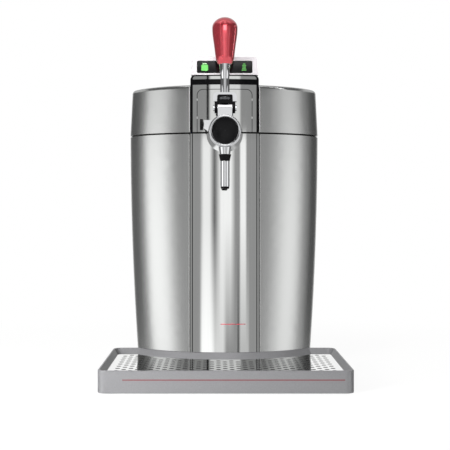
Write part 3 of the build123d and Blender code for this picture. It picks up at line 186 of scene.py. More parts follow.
def wallStops(kind, low, high):
    # stops for a plain wall with its boxes and flags standing on it
    wall = studio[kind + "Wall"]
    stops = [(low - 90, wall)]
    for start, end, edge, bright in studio[kind]:
        if stops[-1][0] > start - edge:
            stops.pop()
        else:
            stops.append((start - edge, wall))
        stops += [(start, bright), (end, bright), (end + edge, wall)]
    return [(at, bright) for at, bright in stops if low <= at <= high]


def fadeOver(tree, value, name):
    # 0 to 1 over one of the studio's named spans
    start, end = studio[name]
    return addNode(tree, "ShaderNodeMapRange", i0=value, i1=start, i2=end).outputs[0]


def between(tree, share, first, second, blend="MIX"):
    node = addNode(tree, "ShaderNodeMix", {"data_type": "RGBA", "blend_type": blend}, i0=share, i6=first,
                   i7=second)
    return node.outputs[2]


def makeWorld():
    world = bpy.data.worlds.new("studio")
    bpy.context.scene.world = world
    world.use_nodes = True
    tree = world.node_tree
    tree.nodes.clear()
    direction = addNode(tree, "ShaderNodeTexCoord").outputs["Generated"]
    axes = addNode(tree, "ShaderNodeSeparateXYZ", Vector=direction)
    toward = addNode(tree, "ShaderNodeMath", {"operation": "MULTIPLY"}, i0=axes.outputs[1], i1=-1.0)
    turn = addNode(tree, "ShaderNodeMath", {"operation": "ARCTAN2"}, i0=axes.outputs[0], i1=toward.outputs[0])
    degrees = addNode(tree, "ShaderNodeMath", {"operation": "DEGREES"}, i0=turn.outputs[0]).outputs[0]
    up = axes.outputs[2]
    around = ramp(tree, degrees, wallStops("around", -180, 180), -180, 180, studio["peak"])
    low, level, high = (ramp(tree, degrees, wallStops(kind, -30, 30), -30, 30, studio["peak"])
                        for kind in ("low", "level", "high"))
    toLevel = fadeOver(tree, up, "lowToLevel")
    toHigh = fadeOver(tree, up, "levelToHigh")
    front = between(tree, toHigh, between(tree, toLevel, low, level), high)
    side = addNode(tree, "ShaderNodeMath", {"operation": "ABSOLUTE"}, i0=degrees).outputs[0]
    toSide = fadeOver(tree, side, "frontEnd")
    bands = between(tree, toSide, front, around)
    # a box behind the object that the drip grid shows
    toRear = fadeOver(tree, side, "rearSide")
    toRise = fadeOver(tree, up, "rearRise")
    rear = addNode(tree, "ShaderNodeMath", {"operation": "MULTIPLY"}, i0=toRear, i1=toRise).outputs[0]
    glow = studio["rear"] / studio["peak"]
    bands = between(tree, rear, bands, (glow, glow, glow, 1.0))
    both = between(tree, 1.0, bands, ramp(tree, up, studio["rise"], -1, 1), "MULTIPLY")
    # behind the object the light comes from higher up, and the pale table shows from below
    toBack = fadeOver(tree, side, "skySide")
    toSky = fadeOver(tree, up, "skyRise")
    sky = addNode(tree, "ShaderNodeMath", {"operation": "MULTIPLY"}, i0=toBack, i1=toSky).outputs[0]
    toTable = fadeOver(tree, up, "tableRise")
    for share, name in ((sky, "sky"), (toTable, "table")):
        glow = studio[name] / studio["peak"]
        both = between(tree, share, both, (glow, glow, glow, 1.0))
    soft = addNode(tree, "ShaderNodeBackground", Color=both, Strength=studio["peak"])
    white = addNode(tree, "ShaderNodeBackground", Color=(1, 1, 1, 1), Strength=1.0)
    seen = addNode(tree, "ShaderNodeLightPath").outputs["Is Camera Ray"]
    mix = addNode(tree, "ShaderNodeMixShader", i0=seen, i1=soft.outputs[0], i2=white.outputs[0])
    addNode(tree, "ShaderNodeOutputWorld", Surface=mix.outputs[0])


def makeFloor():
    # pale floor that the camera sees nearly white, with a faint shadow kept
    mesh = bpy.data.meshes.new("floor")
    radius = studio["floorRadius"]
    turns = [math.tau * i / 96 for i in range(96)]
    mesh.from_pydata([(radius * math.cos(t), radius * math.sin(t), 0) for t in turns], [],
                     [tuple(range(96))])
    floor = bpy.data.objects.new("floor", mesh)
    floor.visible_glossy = False
    bpy.context.scene.collection.objects.link(floor)
    material, tree, shader = newMaterial("pale floor", studio["floorColour"], roughness=0.8)
    path = addNode(tree, "ShaderNodeLightPath")
    white = addNode(tree, "ShaderNodeEmission", Color=(1, 1, 1, 1), Strength=1.0)
    coord = addNode(tree, "ShaderNodeTexCoord").outputs["Object"]
    away = addNode(tree, "ShaderNodeVectorMath", {"operation": "LENGTH"}, i0=coord).outputs["Value"]
    fade = addNode(tree, "ShaderNodeMapRange", i0=away, i1=radius * 0.5, i2=radius * 0.98, i3=0.90, i4=1.0)
    share = addNode(tree, "ShaderNodeMath", {"operation": "MULTIPLY"}, i0=path.outputs["Is Camera Ray"],
                    i1=fade.outputs[0])
    mix = addNode(tree, "ShaderNodeMixShader", i0=share.outputs[0], i1=shader.outputs[0],
                  i2=white.outputs[0])
    out = next(n for n in tree.nodes if n.type == "OUTPUT_MATERIAL")
    tree.links.new(mix.outputs[0], out.inputs["Surface"])
    mesh.materials.append(material)


def makeLamp(name, place, aim, size, power):
    # a soft lamp for the plastics and lacquers; the steel shows the wall and not the lamp
    data = bpy.data.lights.new(name, "AREA")
    data.shape = "RECTANGLE"
    data.size, data.size_y = size
    data.energy = power
    lamp = bpy.data.objects.new(name, data)
    lamp.location = place
    lamp.rotation_euler = (Vector(aim) - Vector(place)).to_track_quat("-Z", "Y").to_euler()
    lamp.visible_glossy = False
    bpy.context.scene.collection.objects.link(lamp)


def makeCard(name, corners, glow):
    # a card that only shiny things see
    mesh = bpy.data.meshes.new(name)
    mesh.from_pydata(corners, [], [(0, 1, 2, 3)])
    card = bpy.data.objects.new(name, mesh)
    card.visible_camera = card.visible_diffuse = card.visible_shadow = card.visible_transmission = False
    bpy.context.scene.collection.objects.link(card)
    material = bpy.data.materials.new(name)
    material.use_nodes = True
    material.node_tree.nodes.clear()
    light = addNode(material.node_tree, "ShaderNodeEmission", Color=(1, 1, 1, 1), Strength=glow)
    addNode(material.node_tree, "ShaderNodeOutputMaterial", Surface=light.outputs[0])
    mesh.materials.append(material)


makeWorld()
makeFloor()
makeLamp("left lamp", (-1.3, -1.5, 1.2), (0, 0, 0.2), (0.9, 0.9), 14)
makeLamp("right lamp", (1.5, -1.1, 0.9), (0, 0, 0.2), (0.9, 0.9), 9)
makeLamp("back lamp", (0.4, 1.8, 1.3), (0, 0, 0.2), (1.2, 0.8), 16)
makeLamp("tray lamp", (-0.45, -0.72, 0.22), (-0.10, -0.20, 0.01), (0.25, 0.25), 10.5)
# cards at the handle: two grey ones beside it, a thin bright one on the right, a bright one in front
cards = {
    "aside": 0.12, "greyDepth": (-0.25, -0.04), "greyHeight": (0.40, 0.55), "greyGlow": 0.12,
    "lineAside": 0.118, "lineDepth": (-0.103, -0.097), "lineHeight": (0.41, 0.50), "lineGlow": 5.0,
    "frontPlace": -0.40, "frontAcross": (-0.07, 0.07), "frontHeight": (0.465, 0.58), "frontGlow": 3.6,
}


def cardCorners(across, up):
    return ((across[0], up[0]), (across[1], up[0]), (across[1], up[1]), (across[0], up[1]))


for side, word in ((-1, "Left"), (1, "Right")):
    corners = cardCorners(cards["greyDepth"], cards["greyHeight"])
    makeCard("greyCard" + word, [(side * cards["aside"], y, z) for y, z in corners], cards["greyGlow"])
corners = cardCorners(cards["lineDepth"], cards["lineHeight"])
makeCard("brightCard", [(cards["lineAside"], y, z) for y, z in corners], cards["lineGlow"])
corners = cardCorners(cards["frontAcross"], cards["frontHeight"])
makeCard("gripCard", [(x, cards["frontPlace"], z) for x, z in corners], cards["frontGlow"])
print("studio set")


def makeSatinSteel():
    # 304 stainless sheet, belt-ground upright: long soft streaks of light, no sharp reflection
    material, tree, shader = newMaterial("satin stainless", "#cfd0cf", 1.0, 0.25)
    # the true grit lines are 0.1 mm wide; these are 0.9 mm so that they just show
    grain = stretched(tree, 0.9, 260)
    tree.links.new(spread(tree, grain, 0.235, 0.265), shader.inputs["Roughness"])
    tree.links.new(tinted(tree, grain, "#cdcecd", "#d2d3d2"), shader.inputs["Base Color"])
    relief(tree, shader, stretched(tree, 0.7, 200), 0.003)
    return material


def polishingLines(material, tree, shader, low, high):
    # the last faint upright lines of the buffing wheel
    grain = stretched(tree, 2.0, 240)
    tree.links.new(spread(tree, grain, low, high), shader.inputs["Roughness"])
    return grain


def makePolishedSteel():
    # buffed stainless: a mirror with sharp edges in its reflections
    material, tree, shader = newMaterial("buffed stainless", "#d6d7d6", 1.0, 0.05)
    grain = polishingLines(material, tree, shader, 0.035, 0.06)
    tree.links.new(tinted(tree, grain, "#d2d3d2", "#dadbda"), shader.inputs["Base Color"])
    relief(tree, shader, stretched(tree, 9, 300), 0.003)
    return material


def stripeMask(tree, left, right, level, widthMm, behind):
    # 1 inside a level line printed between two places across, in front of a depth; sizes in mm
    coord = addNode(tree, "ShaderNodeTexCoord").outputs["Object"]
    axes = addNode(tree, "ShaderNodeSeparateXYZ", Vector=coord)
    middle, reach = (left + right) / 2 * mm, (right - left) / 2 * mm
    along = addNode(tree, "ShaderNodeMath", {"operation": "COMPARE"}, i0=axes.outputs[0], i1=middle, i2=reach)
    across = addNode(tree, "ShaderNodeMath", {"operation": "COMPARE"}, i0=axes.outputs[2], i1=level * mm,
                     i2=widthMm / 2 * mm)
    front = addNode(tree, "ShaderNodeMath", {"operation": "LESS_THAN"}, i0=axes.outputs[1], i1=behind * mm)
    both = addNode(tree, "ShaderNodeMath", {"operation": "MULTIPLY"}, i0=along.outputs[0], i1=across.outputs[0])
    last = addNode(tree, "ShaderNodeMath", {"operation": "MULTIPLY"}, i0=both.outputs[0], i1=front.outputs[0])
    return last.outputs[0]


def makePanelSteel():
    # buffed stainless with a short red line printed low on the column
    material, tree, shader = newMaterial("printed buffed stainless", "#d6d7d6", 1.0, 0.05)
    grain = polishingLines(material, tree, shader, 0.035, 0.06)
    steel = tinted(tree, grain, "#d2d3d2", "#dadbda")
    stripe = stripeMask(tree, -5.5, 28.3, 65.9, 1.0, -80)
    tree.links.new(between(tree, stripe, steel, hexColour("#a8323f")), shader.inputs["Base Color"])
    bare = addNode(tree, "ShaderNodeMath", {"operation": "SUBTRACT"}, i0=1.0, i1=stripe)
    tree.links.new(bare.outputs[0], shader.inputs["Metallic"])
    relief(tree, shader, stretched(tree, 9, 300), 0.003)
    return material


def makeEdgeSteel():
    # bare folded edge of the skin, brushed along its length: bright and soft
    material, tree, shader = newMaterial("folded steel edge", "#f2f2f1", 1.0, 0.36)
    grain = stretched(tree, 0.5, 60)
    tree.links.new(spread(tree, grain, 0.32, 0.42), shader.inputs["Roughness"])
    tree.links.new(tinted(tree, grain, "#eeeeed", "#f6f6f5"), shader.inputs["Base Color"])
    return material


def makeChrome():
    # decorative chrome on a zinc casting: hard mirror with a slight orange peel
    material, tree, shader = newMaterial("chrome plate", "#dcdddf", 1.0, 0.05)
    peel = stretched(tree, 2.5, 2.5)
    tree.links.new(spread(tree, peel, 0.035, 0.07), shader.inputs["Roughness"])
    relief(tree, shader, peel, 0.008)
    return material


def makeBlackAbs():
    # injection-moulded ABS with a fine spark-eroded texture: broad dull sheen
    material, tree, shader = newMaterial("moulded ABS", "#111213", 0.0, 0.5, Specular_IOR_Level=0.35)
    grain = stretched(tree, 0.9, 0.9, 3.0)
    tree.links.new(spread(tree, grain, 0.42, 0.6), shader.inputs["Roughness"])
    tree.links.new(tinted(tree, grain, "#0e0f10", "#161718"), shader.inputs["Base Color"])
    relief(tree, shader, grain, 0.05)
    return material


def makeGlossAbs():
    # ABS from a polished tool: jet black, smooth, with a low clear sheen
    material, tree, shader = newMaterial("gloss ABS", "#040405", 0.0, 0.16, Specular_IOR_Level=0.12)
    swirl = stretched(tree, 7, 7)
    tree.links.new(spread(tree, swirl, 0.12, 0.2), shader.inputs["Roughness"])
    tree.links.new(tinted(tree, swirl, "#030304", "#070708"), shader.inputs["Base Color"])
    return material


def makeRubber():
    # EPDM rubber: nearly no gloss, dusty grain
    material, tree, shader = newMaterial("EPDM rubber", "#1b1b1b", 0.0, 0.8)
    grain = stretched(tree, 1.5, 1.5, 4.0)
    tree.links.new(tinted(tree, grain, "#161616", "#242423"), shader.inputs["Base Color"])
    relief(tree, shader, grain, 0.06)
    return material


def makeZincSteel():
    # zinc-plated steel: dull silver with cloudy spots
    material, tree, shader = newMaterial("zinc plate", "#a9adb0", 1.0, 0.32)
    cloud = stretched(tree, 3, 3, 3.0)
    tree.links.new(spread(tree, cloud, 0.24, 0.42), shader.inputs["Roughness"])
    tree.links.new(tinted(tree, cloud, "#9da1a5", "#b9bcbd"), shader.inputs["Base Color"])
    return material


def makeBlackenedSteel():
    # black oxide on turned steel: dark, a little oily
    material, tree, shader = newMaterial("black oxide steel", "#5c5d5f", 0.9, 0.3)
    cloud = stretched(tree, 2, 2, 3.0)
    tree.links.new(spread(tree, cloud, 0.24, 0.38), shader.inputs["Roughness"])
    tree.links.new(tinted(tree, cloud, "#525356", "#68696b"), shader.inputs["Base Color"])
    return material


def makeShadedHoleWall():
    # the wall inside each punched hole: rough like a torn edge, and painted near black as shade in the hole, so
    # it looks dark next to the polished sheet
    material, tree, shader = newMaterial("hole wall painted shade", "#0c0c0d", 0.0, 0.7)
    shadeMottle = stretched(tree, 0.6, 0.6, 3.0)
    tree.links.new(tinted(tree, shadeMottle, "#080809", "#121213"), shader.inputs["Base Color"])
    return material


def makeAluminium():
    # drawn aluminium: soft upright drawing marks
    material, tree, shader = newMaterial("drawn aluminium", "#c8cacd", 1.0, 0.34)
    grain = stretched(tree, 1.6, 90)
    tree.links.new(spread(tree, grain, 0.28, 0.42), shader.inputs["Roughness"])
    tree.links.new(tinted(tree, grain, "#bcbec1", "#d2d4d6"), shader.inputs["Base Color"])
    return material


def makeFoam():
    # rigid polyurethane foam: small closed cells, matt cream
    material, tree, shader = newMaterial("polyurethane foam", "#e6dfc9", 0.0, 0.9)
    coord = addNode(tree, "ShaderNodeTexCoord").outputs["Object"]
    cells = addNode(tree, "ShaderNodeTexVoronoi", Vector=coord, Scale=1 / (1.8 * mm))
    tree.links.new(tinted(tree, cells.outputs["Distance"], "#d8cfb4", "#ece6d4"),
                   shader.inputs["Base Color"])
    relief(tree, shader, cells.outputs["Distance"], 0.3)
    return material


def makeCeramic():
    # alumina plates: white, close-grained, half matt
    material, tree, shader = newMaterial("alumina ceramic", "#e9e9e4", 0.0, 0.4)
    grain = stretched(tree, 0.8, 0.8, 3.0)
    tree.links.new(tinted(tree, grain, "#e0e0da", "#efefeb"), shader.inputs["Base Color"])
    return material


def makeBoard():
    # FR4 board under green solder mask, with paler tracks every few millimetres
    material, tree, shader = newMaterial("solder mask", "#0f4a26", 0.0, 0.3)
    coord = addNode(tree, "ShaderNodeTexCoord").outputs["Object"]
    place = addNode(tree, "ShaderNodeMapping", Vector=coord, Rotation=(math.radians(90), 0, 0))
    tracks = addNode(tree, "ShaderNodeTexBrick", Vector=place.outputs[0], Scale=1.0, Mortar_Size=0.0006,
                     Brick_Width=0.017, Row_Height=0.0045, Color1=hexColour("#0e4624"),
                     Color2=hexColour("#12522b"), Mortar=hexColour("#2c7a47"))
    tree.links.new(tracks.outputs["Color"], shader.inputs["Base Color"])
    return material


def makeWhitePlastic():
    # food-grade polypropylene: milky, waxy, a little light inside
    material, tree, shader = newMaterial("polypropylene", "#dfdfda", 0.0, 0.38, Subsurface_Weight=0.05)
    grain = stretched(tree, 4, 4, 3.0)
    tree.links.new(tinted(tree, grain, "#d9d9d3", "#e6e6e1"), shader.inputs["Base Color"])
    tree.links.new(spread(tree, grain, 0.32, 0.45), shader.inputs["Roughness"])
    return material


def makeDisplayLacquer():
    # aluminium-flake lacquer: satin, with a fine sparkle of flakes about 0.5 mm apart
    material, tree, shader = newMaterial("silver lacquer", "#cfcbce", 0.55, 0.36, Coat_Weight=0.15,
                                         Coat_Roughness=0.3)
    coord = addNode(tree, "ShaderNodeTexCoord").outputs["Object"]
    flakes = addNode(tree, "ShaderNodeTexVoronoi", Vector=coord, Scale=1 / (0.5 * mm))
    tree.links.new(tinted(tree, flakes.outputs["Color"], "#c9c5c8", "#d6d2d5"), shader.inputs["Base Color"])
    tree.links.new(spread(tree, flakes.outputs["Distance"], 0.32, 0.42), shader.inputs["Roughness"])
    return material


def makeTrayLacquer():
    # the same kind of lacquer on the tray, with a red line printed along the front
    material, tree, shader = newMaterial("tray lacquer", "#808082", 0.55, 0.34, Coat_Weight=0.15,
                                         Coat_Roughness=0.3)
    coord = addNode(tree, "ShaderNodeTexCoord").outputs["Object"]
    flakes = addNode(tree, "ShaderNodeTexVoronoi", Vector=coord, Scale=1 / (0.5 * mm))
    silver = tinted(tree, flakes.outputs["Color"], "#7b7b7d", "#868688")
    stripe = stripeMask(tree, -123.8, 142.3, 16.9, 1.15, -233)
    tree.links.new(between(tree, stripe, silver, hexColour("#7d3038")), shader.inputs["Base Color"])
    tree.links.new(spread(tree, flakes.outputs["Distance"], 0.32, 0.42), shader.inputs["Roughness"])
    return material


def makeWindow():
    # tinted acrylic, flame-polished: black, smooth, with faint swirl marks
    material, tree, shader = newMaterial("tinted acrylic", "#050506", 0.0, 0.08, Specular_IOR_Level=0.2)
    marks = stretched(tree, 6, 6, 2.0)
    tree.links.new(spread(tree, marks, 0.06, 0.12), shader.inputs["Roughness"])
    return material


def makeEnamel():
    # black enamel disc: deep gloss with a hair of orange peel
    material, tree, shader = newMaterial("black enamel", "#040405", 0.0, 0.14, Specular_IOR_Level=0.16)
    peel = stretched(tree, 2.0, 2.0)
    tree.links.new(spread(tree, peel, 0.12, 0.18), shader.inputs["Roughness"])
    relief(tree, shader, peel, 0.003)
    return material


def makeSilicone():
    # platinum-cured silicone hose: milky and half clear
    material, tree, shader = newMaterial("silicone", "#cfcfc9", 0.0, 0.42, Subsurface_Weight=0.15)
    grain = stretched(tree, 5, 5)
    tree.links.new(tinted(tree, grain, "#c8c8c1", "#d6d6d0"), shader.inputs["Base Color"])
    return material


def makeRedLacquer():
    # candy red over metallic flake, clear coated: dark edges, a pale pink line of light
    material, tree, shader = newMaterial("red candy lacquer", "#d4434f", 0.85, 0.26, Coat_Weight=1.0,
                                         Coat_Roughness=0.08, Coat_IOR=1.7)
    coord = addNode(tree, "ShaderNodeTexCoord").outputs["Object"]
    flakes = addNode(tree, "ShaderNodeTexVoronoi", Vector=coord, Scale=1 / (0.6 * mm))
    tree.links.new(tinted(tree, flakes.outputs["Color"], "#cc3d49", "#dc4b57"),
                   shader.inputs["Base Color"])
    return material


def makeLampGreen(name, dark, light, glow):
    # lit green symbol in the window: even light with a little bloom in it
    material, tree, shader = newMaterial(name, dark, 0.0, 0.5, Emission_Strength=glow)
    bloom = stretched(tree, 3, 3)
    colour = tinted(tree, bloom, dark, light)
    tree.links.new(colour, shader.inputs["Base Color"])
    tree.links.new(colour, shader.inputs["Emission Color"])
    return material


satinSteel = makeSatinSteel()
polishedSteel = makePolishedSteel()
edgeSteel = makeEdgeSteel()
chrome = makeChrome()
blackAbs = makeBlackAbs()
glossAbs = makeGlossAbs()
rubber = makeRubber()
zincSteel = makeZincSteel()
shadedHoleWall = makeShadedHoleWall()
aluminium = makeAluminium()
litGreen = makeLampGreen("lit green", "#4f9c48", "#63b058", 0.30)

dress(satinSteel, "body_shell", "lid_shell")
dress(polishedSteel, "head_face", "tap_plate", "plate_clips", "panel_trim", "drip_grid")
dress(makePanelSteel(), "front_panel")
dress(chrome, "tap_barrel", "tap_ring", "spout_cone", "spout_tube", "lever_yoke", "lever_rod",
      "lever_ferrule", "cam_pin")
dress(makeBlackenedSteel(), "lever_nut")
dress(glossAbs, "head_shell", "panel_seals", "lever_fork", "flow_knob", "top_rim", "spout_collar", "spout_tip")
dress(blackAbs, "base_plate", "rear_cover", "switch_housing", "switch_rocker", "mains_inlet", "bulkhead",
      "fan_frame", "fan_rotor")
dress(rubber, "rubber_feet", "tray_pads", "lid_gasket")
dress(zincSteel, "base_screws", "rear_screws", "body_hinge_leaves", "lid_hinge_leaves", "hinge_pins")
dress(aluminium, "keg_well", "cold_block", "heat_sink")
dress(makeFoam(), "insulation", "lid_foam")
dress(makeCeramic(), "peltier_module")
dress(makeBoard(), "power_board", "display_board")
dress(makeWhitePlastic(), "board_standoffs", "lid_liner", "keg_coupler", "pinch_plunger")
dress(makeDisplayLacquer(), "display_housing")
dress(makeWindow(), "display_window")
dress(litGreen, "keg_lamp", "temperature_lamp")
dress(makeEnamel(), "tap_medallion")
dress(makeSilicone(), "beer_line")
dress(makeRedLacquer(), "lever_grip")
dress(makeTrayLacquer(), "drip_tray")
print("finishes on")


def newRule(name, sizes):
    # an empty Geometry Nodes tree with named size inputs; returns it with its two end nodes
    tree = bpy.data.node_groups.new(name, "GeometryNodeTree")
    tree.interface.new_socket("Geometry", in_out="INPUT", socket_type="NodeSocketGeometry")
    for size in sizes:
        tree.interface.new_socket(size, in_out="INPUT", socket_type="NodeSocketFloat")
    tree.interface.new_socket("Geometry", in_out="OUTPUT", socket_type="NodeSocketGeometry")
    return tree, addNode(tree, "NodeGroupInput").outputs, addNode(tree, "NodeGroupOutput")


def runRule(tree, mesh, sizes):
    # runs the tree on a mesh with its sizes in metres and gives back a plain mesh
    source = bpy.data.objects.new(tree.name, mesh)
    bpy.context.scene.collection.objects.link(source)
    rule = source.modifiers.new("rule", "NODES")
    rule.node_group = tree
    sockets = {s.name: s.identifier for s in tree.interface.items_tree if s.in_out == "INPUT"}
    for name, value in sizes.items():
        rule[sockets[name]] = value
    seen = bpy.context.evaluated_depsgraph_get()
    result = bpy.data.meshes.new_from_object(source.evaluated_get(seen), depsgraph=seen)
    source.modifiers.remove(rule)
    bpy.data.objects.remove(source)
    return result


def lineMesh(name, points, closed=False):
    mesh = bpy.data.meshes.new(name)
    edges = [(i, i + 1) for i in range(len(points) - 1)]
    if closed:
        edges.append((len(points) - 1, 0))
    mesh.from_pydata([tuple(c * mm for c in p) for p in points], edges, [])
    return mesh


# drip grid: polished sheet with staggered round holes, cut round the cabinet's front
drainGrid = {
    "left": -147.3, "right": 147.3, "front": -227.5, "rear": -55.9, "cornerRadius": 4.6,
    "arcCentre": -11.5, "arcHalfWidth": 138.36, "arcDepth": 89.6,
    "top": 20.0, "thickness": 0.8,
    "holeDiameter": 6.3, "columnPitch": 17.0, "rowPitch": 16.4,
    "holeFront": -219.9, "holeRear": -63.5, "holeReach": 139.7,
    "holeArcHalfWidth": 145.96, "holeArcDepth": 97.2,
}


def gridOutline(g):
    # the sheet's outline: two rounded front corners, two rounded rear ones, and the arc between them
    r = g["cornerRadius"]
    points = []
    for cx, cy, start in ((g["left"] + r, g["front"] + r, 180), (g["right"] - r, g["front"] + r, 270),
                          (g["right"] - r, g["rear"] - r, 0)):
        for i in range(7):
            t = math.radians(start + 15 * i)
            points.append((cx + r * math.cos(t), cy + r * math.sin(t)))
    drop = (g["rear"] - g["arcCentre"]) / g["arcDepth"]
    end = math.asin(drop)
    steps = 64
    for i in range(steps + 1):
        t = end + (-math.pi - 2 * end) * i / steps
        points.append((g["arcHalfWidth"] * math.cos(t), g["arcCentre"] + g["arcDepth"] * math.sin(t)))
    for i in range(7):
        t = math.radians(90 + 15 * i)
        points.append((g["left"] + r + r * math.cos(t), g["rear"] - r + r * math.sin(t)))
    return [(x, y, 0) for x, y in points]


def gridRule(g):
    names = ["Hole radius", "Column pitch", "Row pitch", "Thickness", "Level", "Reach", "Front", "Rear",
             "Arc centre", "Arc half width", "Arc depth"]
    tree, given, end = newRule("perforated sheet", names)
    columns = 2 * int(g["holeReach"] / g["columnPitch"]) + 3
    rows = 2 * int((g["holeRear"] - g["holeFront"]) / g["rowPitch"]) + 5

    def combine(kind, a, b):
        return addNode(tree, "ShaderNodeMath", {"operation": kind}, i0=a, i1=b).outputs[0]

    points = []
    for shifted in (0, 1):
        width = combine("MULTIPLY", given["Column pitch"], columns - 1.0)
        depth = combine("MULTIPLY", given["Row pitch"], rows - 1.0)
        sheet = addNode(tree, "GeometryNodeMeshGrid", Size_X=width, Size_Y=depth, Vertices_X=columns,
                        Vertices_Y=rows)
        x = combine("MULTIPLY", given["Column pitch"], 0.5 * shifted)
        first = combine("MULTIPLY", given["Row pitch"], 0.5 * (rows - 1 + shifted))
        y = combine("ADD", given["Front"], first)
        place = addNode(tree, "ShaderNodeCombineXYZ", X=x, Y=y)
        moved = addNode(tree, "GeometryNodeTransform", Geometry=sheet.outputs["Mesh"],
                        Translation=place.outputs[0])
        points.append(moved.outputs[0])
    joined = addNode(tree, "GeometryNodeJoinGeometry")
    for geometry in points:
        tree.links.new(geometry, joined.inputs[0])

    here = addNode(tree, "ShaderNodeSeparateXYZ", Vector=addNode(tree, "GeometryNodeInputPosition").outputs[0])
    x, y = here.outputs[0], here.outputs[1]
    wide = combine("GREATER_THAN", combine("ABSOLUTE", x, 0.0), given["Reach"])
    before = combine("LESS_THAN", y, combine("SUBTRACT", given["Front"], 0.0001))
    behind = combine("GREATER_THAN", y, given["Rear"])
    u = combine("DIVIDE", x, given["Arc half width"])
    v = combine("DIVIDE", combine("SUBTRACT", y, given["Arc centre"]), given["Arc depth"])
    inArc = combine("LESS_THAN", combine("ADD", combine("MULTIPLY", u, u), combine("MULTIPLY", v, v)), 1.0)
    off = combine("MAXIMUM", combine("MAXIMUM", wide, before), combine("MAXIMUM", behind, inArc))
    kept = addNode(tree, "GeometryNodeDeleteGeometry", {"domain": "POINT"}, Geometry=joined.outputs[0],
                   Selection=off)
    ring = addNode(tree, "GeometryNodeCurvePrimitiveCircle", Resolution=16, Radius=given["Hole radius"])
    rings = addNode(tree, "GeometryNodeInstanceOnPoints", Points=kept.outputs[0],
                    Instance=ring.outputs["Curve"])
    loose = addNode(tree, "GeometryNodeRealizeInstances", Geometry=rings.outputs[0])
    outline = addNode(tree, "GeometryNodeMeshToCurve", i0=given["Geometry"])
    lines = addNode(tree, "GeometryNodeJoinGeometry")
    tree.links.new(outline.outputs[0], lines.inputs[0])
    tree.links.new(loose.outputs[0], lines.inputs[0])
    filled = addNode(tree, "GeometryNodeFillCurve", Curve=lines.outputs[0])
    lower = addNode(tree, "GeometryNodeFlipFaces", Mesh=filled.outputs[0])
    raised = addNode(tree, "GeometryNodeExtrudeMesh", i0=filled.outputs[0], Offset_Scale=given["Thickness"],
                     Individual=False)
    walls = addNode(tree, "GeometryNodeStoreNamedAttribute", {"data_type": "BOOLEAN", "domain": "FACE"},
                    Geometry=raised.outputs["Mesh"], Name="wall", Value=raised.outputs["Side"])
    solid = addNode(tree, "GeometryNodeJoinGeometry")
    tree.links.new(walls.outputs[0], solid.inputs[0])
    tree.links.new(lower.outputs[0], solid.inputs[0])
    closed = addNode(tree, "GeometryNodeMergeByDistance", Geometry=solid.outputs[0], Distance=0.00001)
    level = addNode(tree, "ShaderNodeCombineXYZ", Z=given["Level"])
    lifted = addNode(tree, "GeometryNodeTransform", Geometry=closed.outputs[0], Translation=level.outputs[0])
    plain = addNode(tree, "GeometryNodeRealizeInstances", Geometry=lifted.outputs[0])
    steel = addNode(tree, "GeometryNodeSetMaterial", Geometry=plain.outputs[0], Material=polishedSteel)
    # the hole walls take the near-black material: painted shade inside the holes
    isWall = addNode(tree, "GeometryNodeInputNamedAttribute", {"data_type": "BOOLEAN"}, Name="wall")
    shadedWalls = addNode(tree, "GeometryNodeSetMaterial", Geometry=steel.outputs[0],
                    Selection=isWall.outputs["Attribute"], Material=shadedHoleWall)
    tree.links.new(shadedWalls.outputs[0], end.inputs[0])
    return tree


def makeDripGrid():
    g = drainGrid
    sizes = {"Hole radius": g["holeDiameter"] / 2, "Column pitch": g["columnPitch"], "Row pitch": g["rowPitch"],
             "Thickness": g["thickness"], "Level": g["top"] - g["thickness"], "Reach": g["holeReach"],
             "Front": g["holeFront"], "Rear": g["holeRear"], "Arc centre": g["arcCentre"],
             "Arc half width": g["holeArcHalfWidth"], "Arc depth": g["holeArcDepth"]}
    mesh = runRule(gridRule(g), lineMesh("gridOutline", gridOutline(g), closed=True),
                   {name: value * mm for name, value in sizes.items()})
    grid = meshPiece("dripGrid", mesh, "grid")
    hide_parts("drip_grid")
    # left out of reflections, so that the column shows the studio's low boxes down to its foot
    grid.visible_glossy = nodes["drip_tray"].visible_glossy = False
    print("drip grid:", len(mesh.polygons), "faces")


makeDripGrid()


# bright edging: the folded edge of the steel skin, beside the column and the tap's head
edging = {"reach": 47.4, "radius": 1.1, "proud": 0.45, "bodySpan": (16.0, 322.6), "lidSpan": (327.0, 387.0),
          "step": 6.0, "probeAside": 2.0}


def edgingRule():
    tree, given, end = newRule("edging", ["Radius"])
    path = addNode(tree, "GeometryNodeMeshToCurve", i0=given["Geometry"])
    ring = addNode(tree, "GeometryNodeCurvePrimitiveCircle", Resolution=10, Radius=given["Radius"])
    tube = addNode(tree, "GeometryNodeCurveToMesh", Curve=path.outputs[0], Profile_Curve=ring.outputs["Curve"],
                   Fill_Caps=True)
    plain = addNode(tree, "GeometryNodeRealizeInstances", Geometry=tube.outputs[0])
    steel = addNode(tree, "GeometryNodeSetMaterial", Geometry=plain.outputs[0], Material=edgeSteel)
    tree.links.new(steel.outputs[0], end.inputs[0])
    return tree


def surfacePath(node, across, low, high, step, proud):
    # points up the front of a node at one place across, in mm
    points = []
    count = int((high - low) / step)
    for i in range(count + 1):
        level = low + (high - low) * i / count
        hit, place, _, _ = nodes[node].ray_cast(Vector((across * mm, -0.3, level * mm)), Vector((0, 1, 0)))
        if hit:
            points.append((across, place.y / mm - proud, level))
    return points


def makeEdging():
    e = edging
    tree = edgingRule()
    for side, word in ((-1, "Left"), (1, "Right")):
        for node, body, span in (("body_shell", "cabinet", "bodySpan"), ("lid_shell", "lid", "lidSpan")):
            away = e["reach"] + e["probeAside"]
            path = surfacePath(node, side * away, *e[span], e["step"], e["proud"])
            path = [(side * e["reach"], y, z) for _, y, z in path]
            mesh = runRule(tree, lineMesh("edgingLine", path), {"Radius": e["radius"] * mm})
            meshPiece("edging" + body.capitalize() + word, mesh, body, smooth=True)
    print("edging on")


makeEdging()


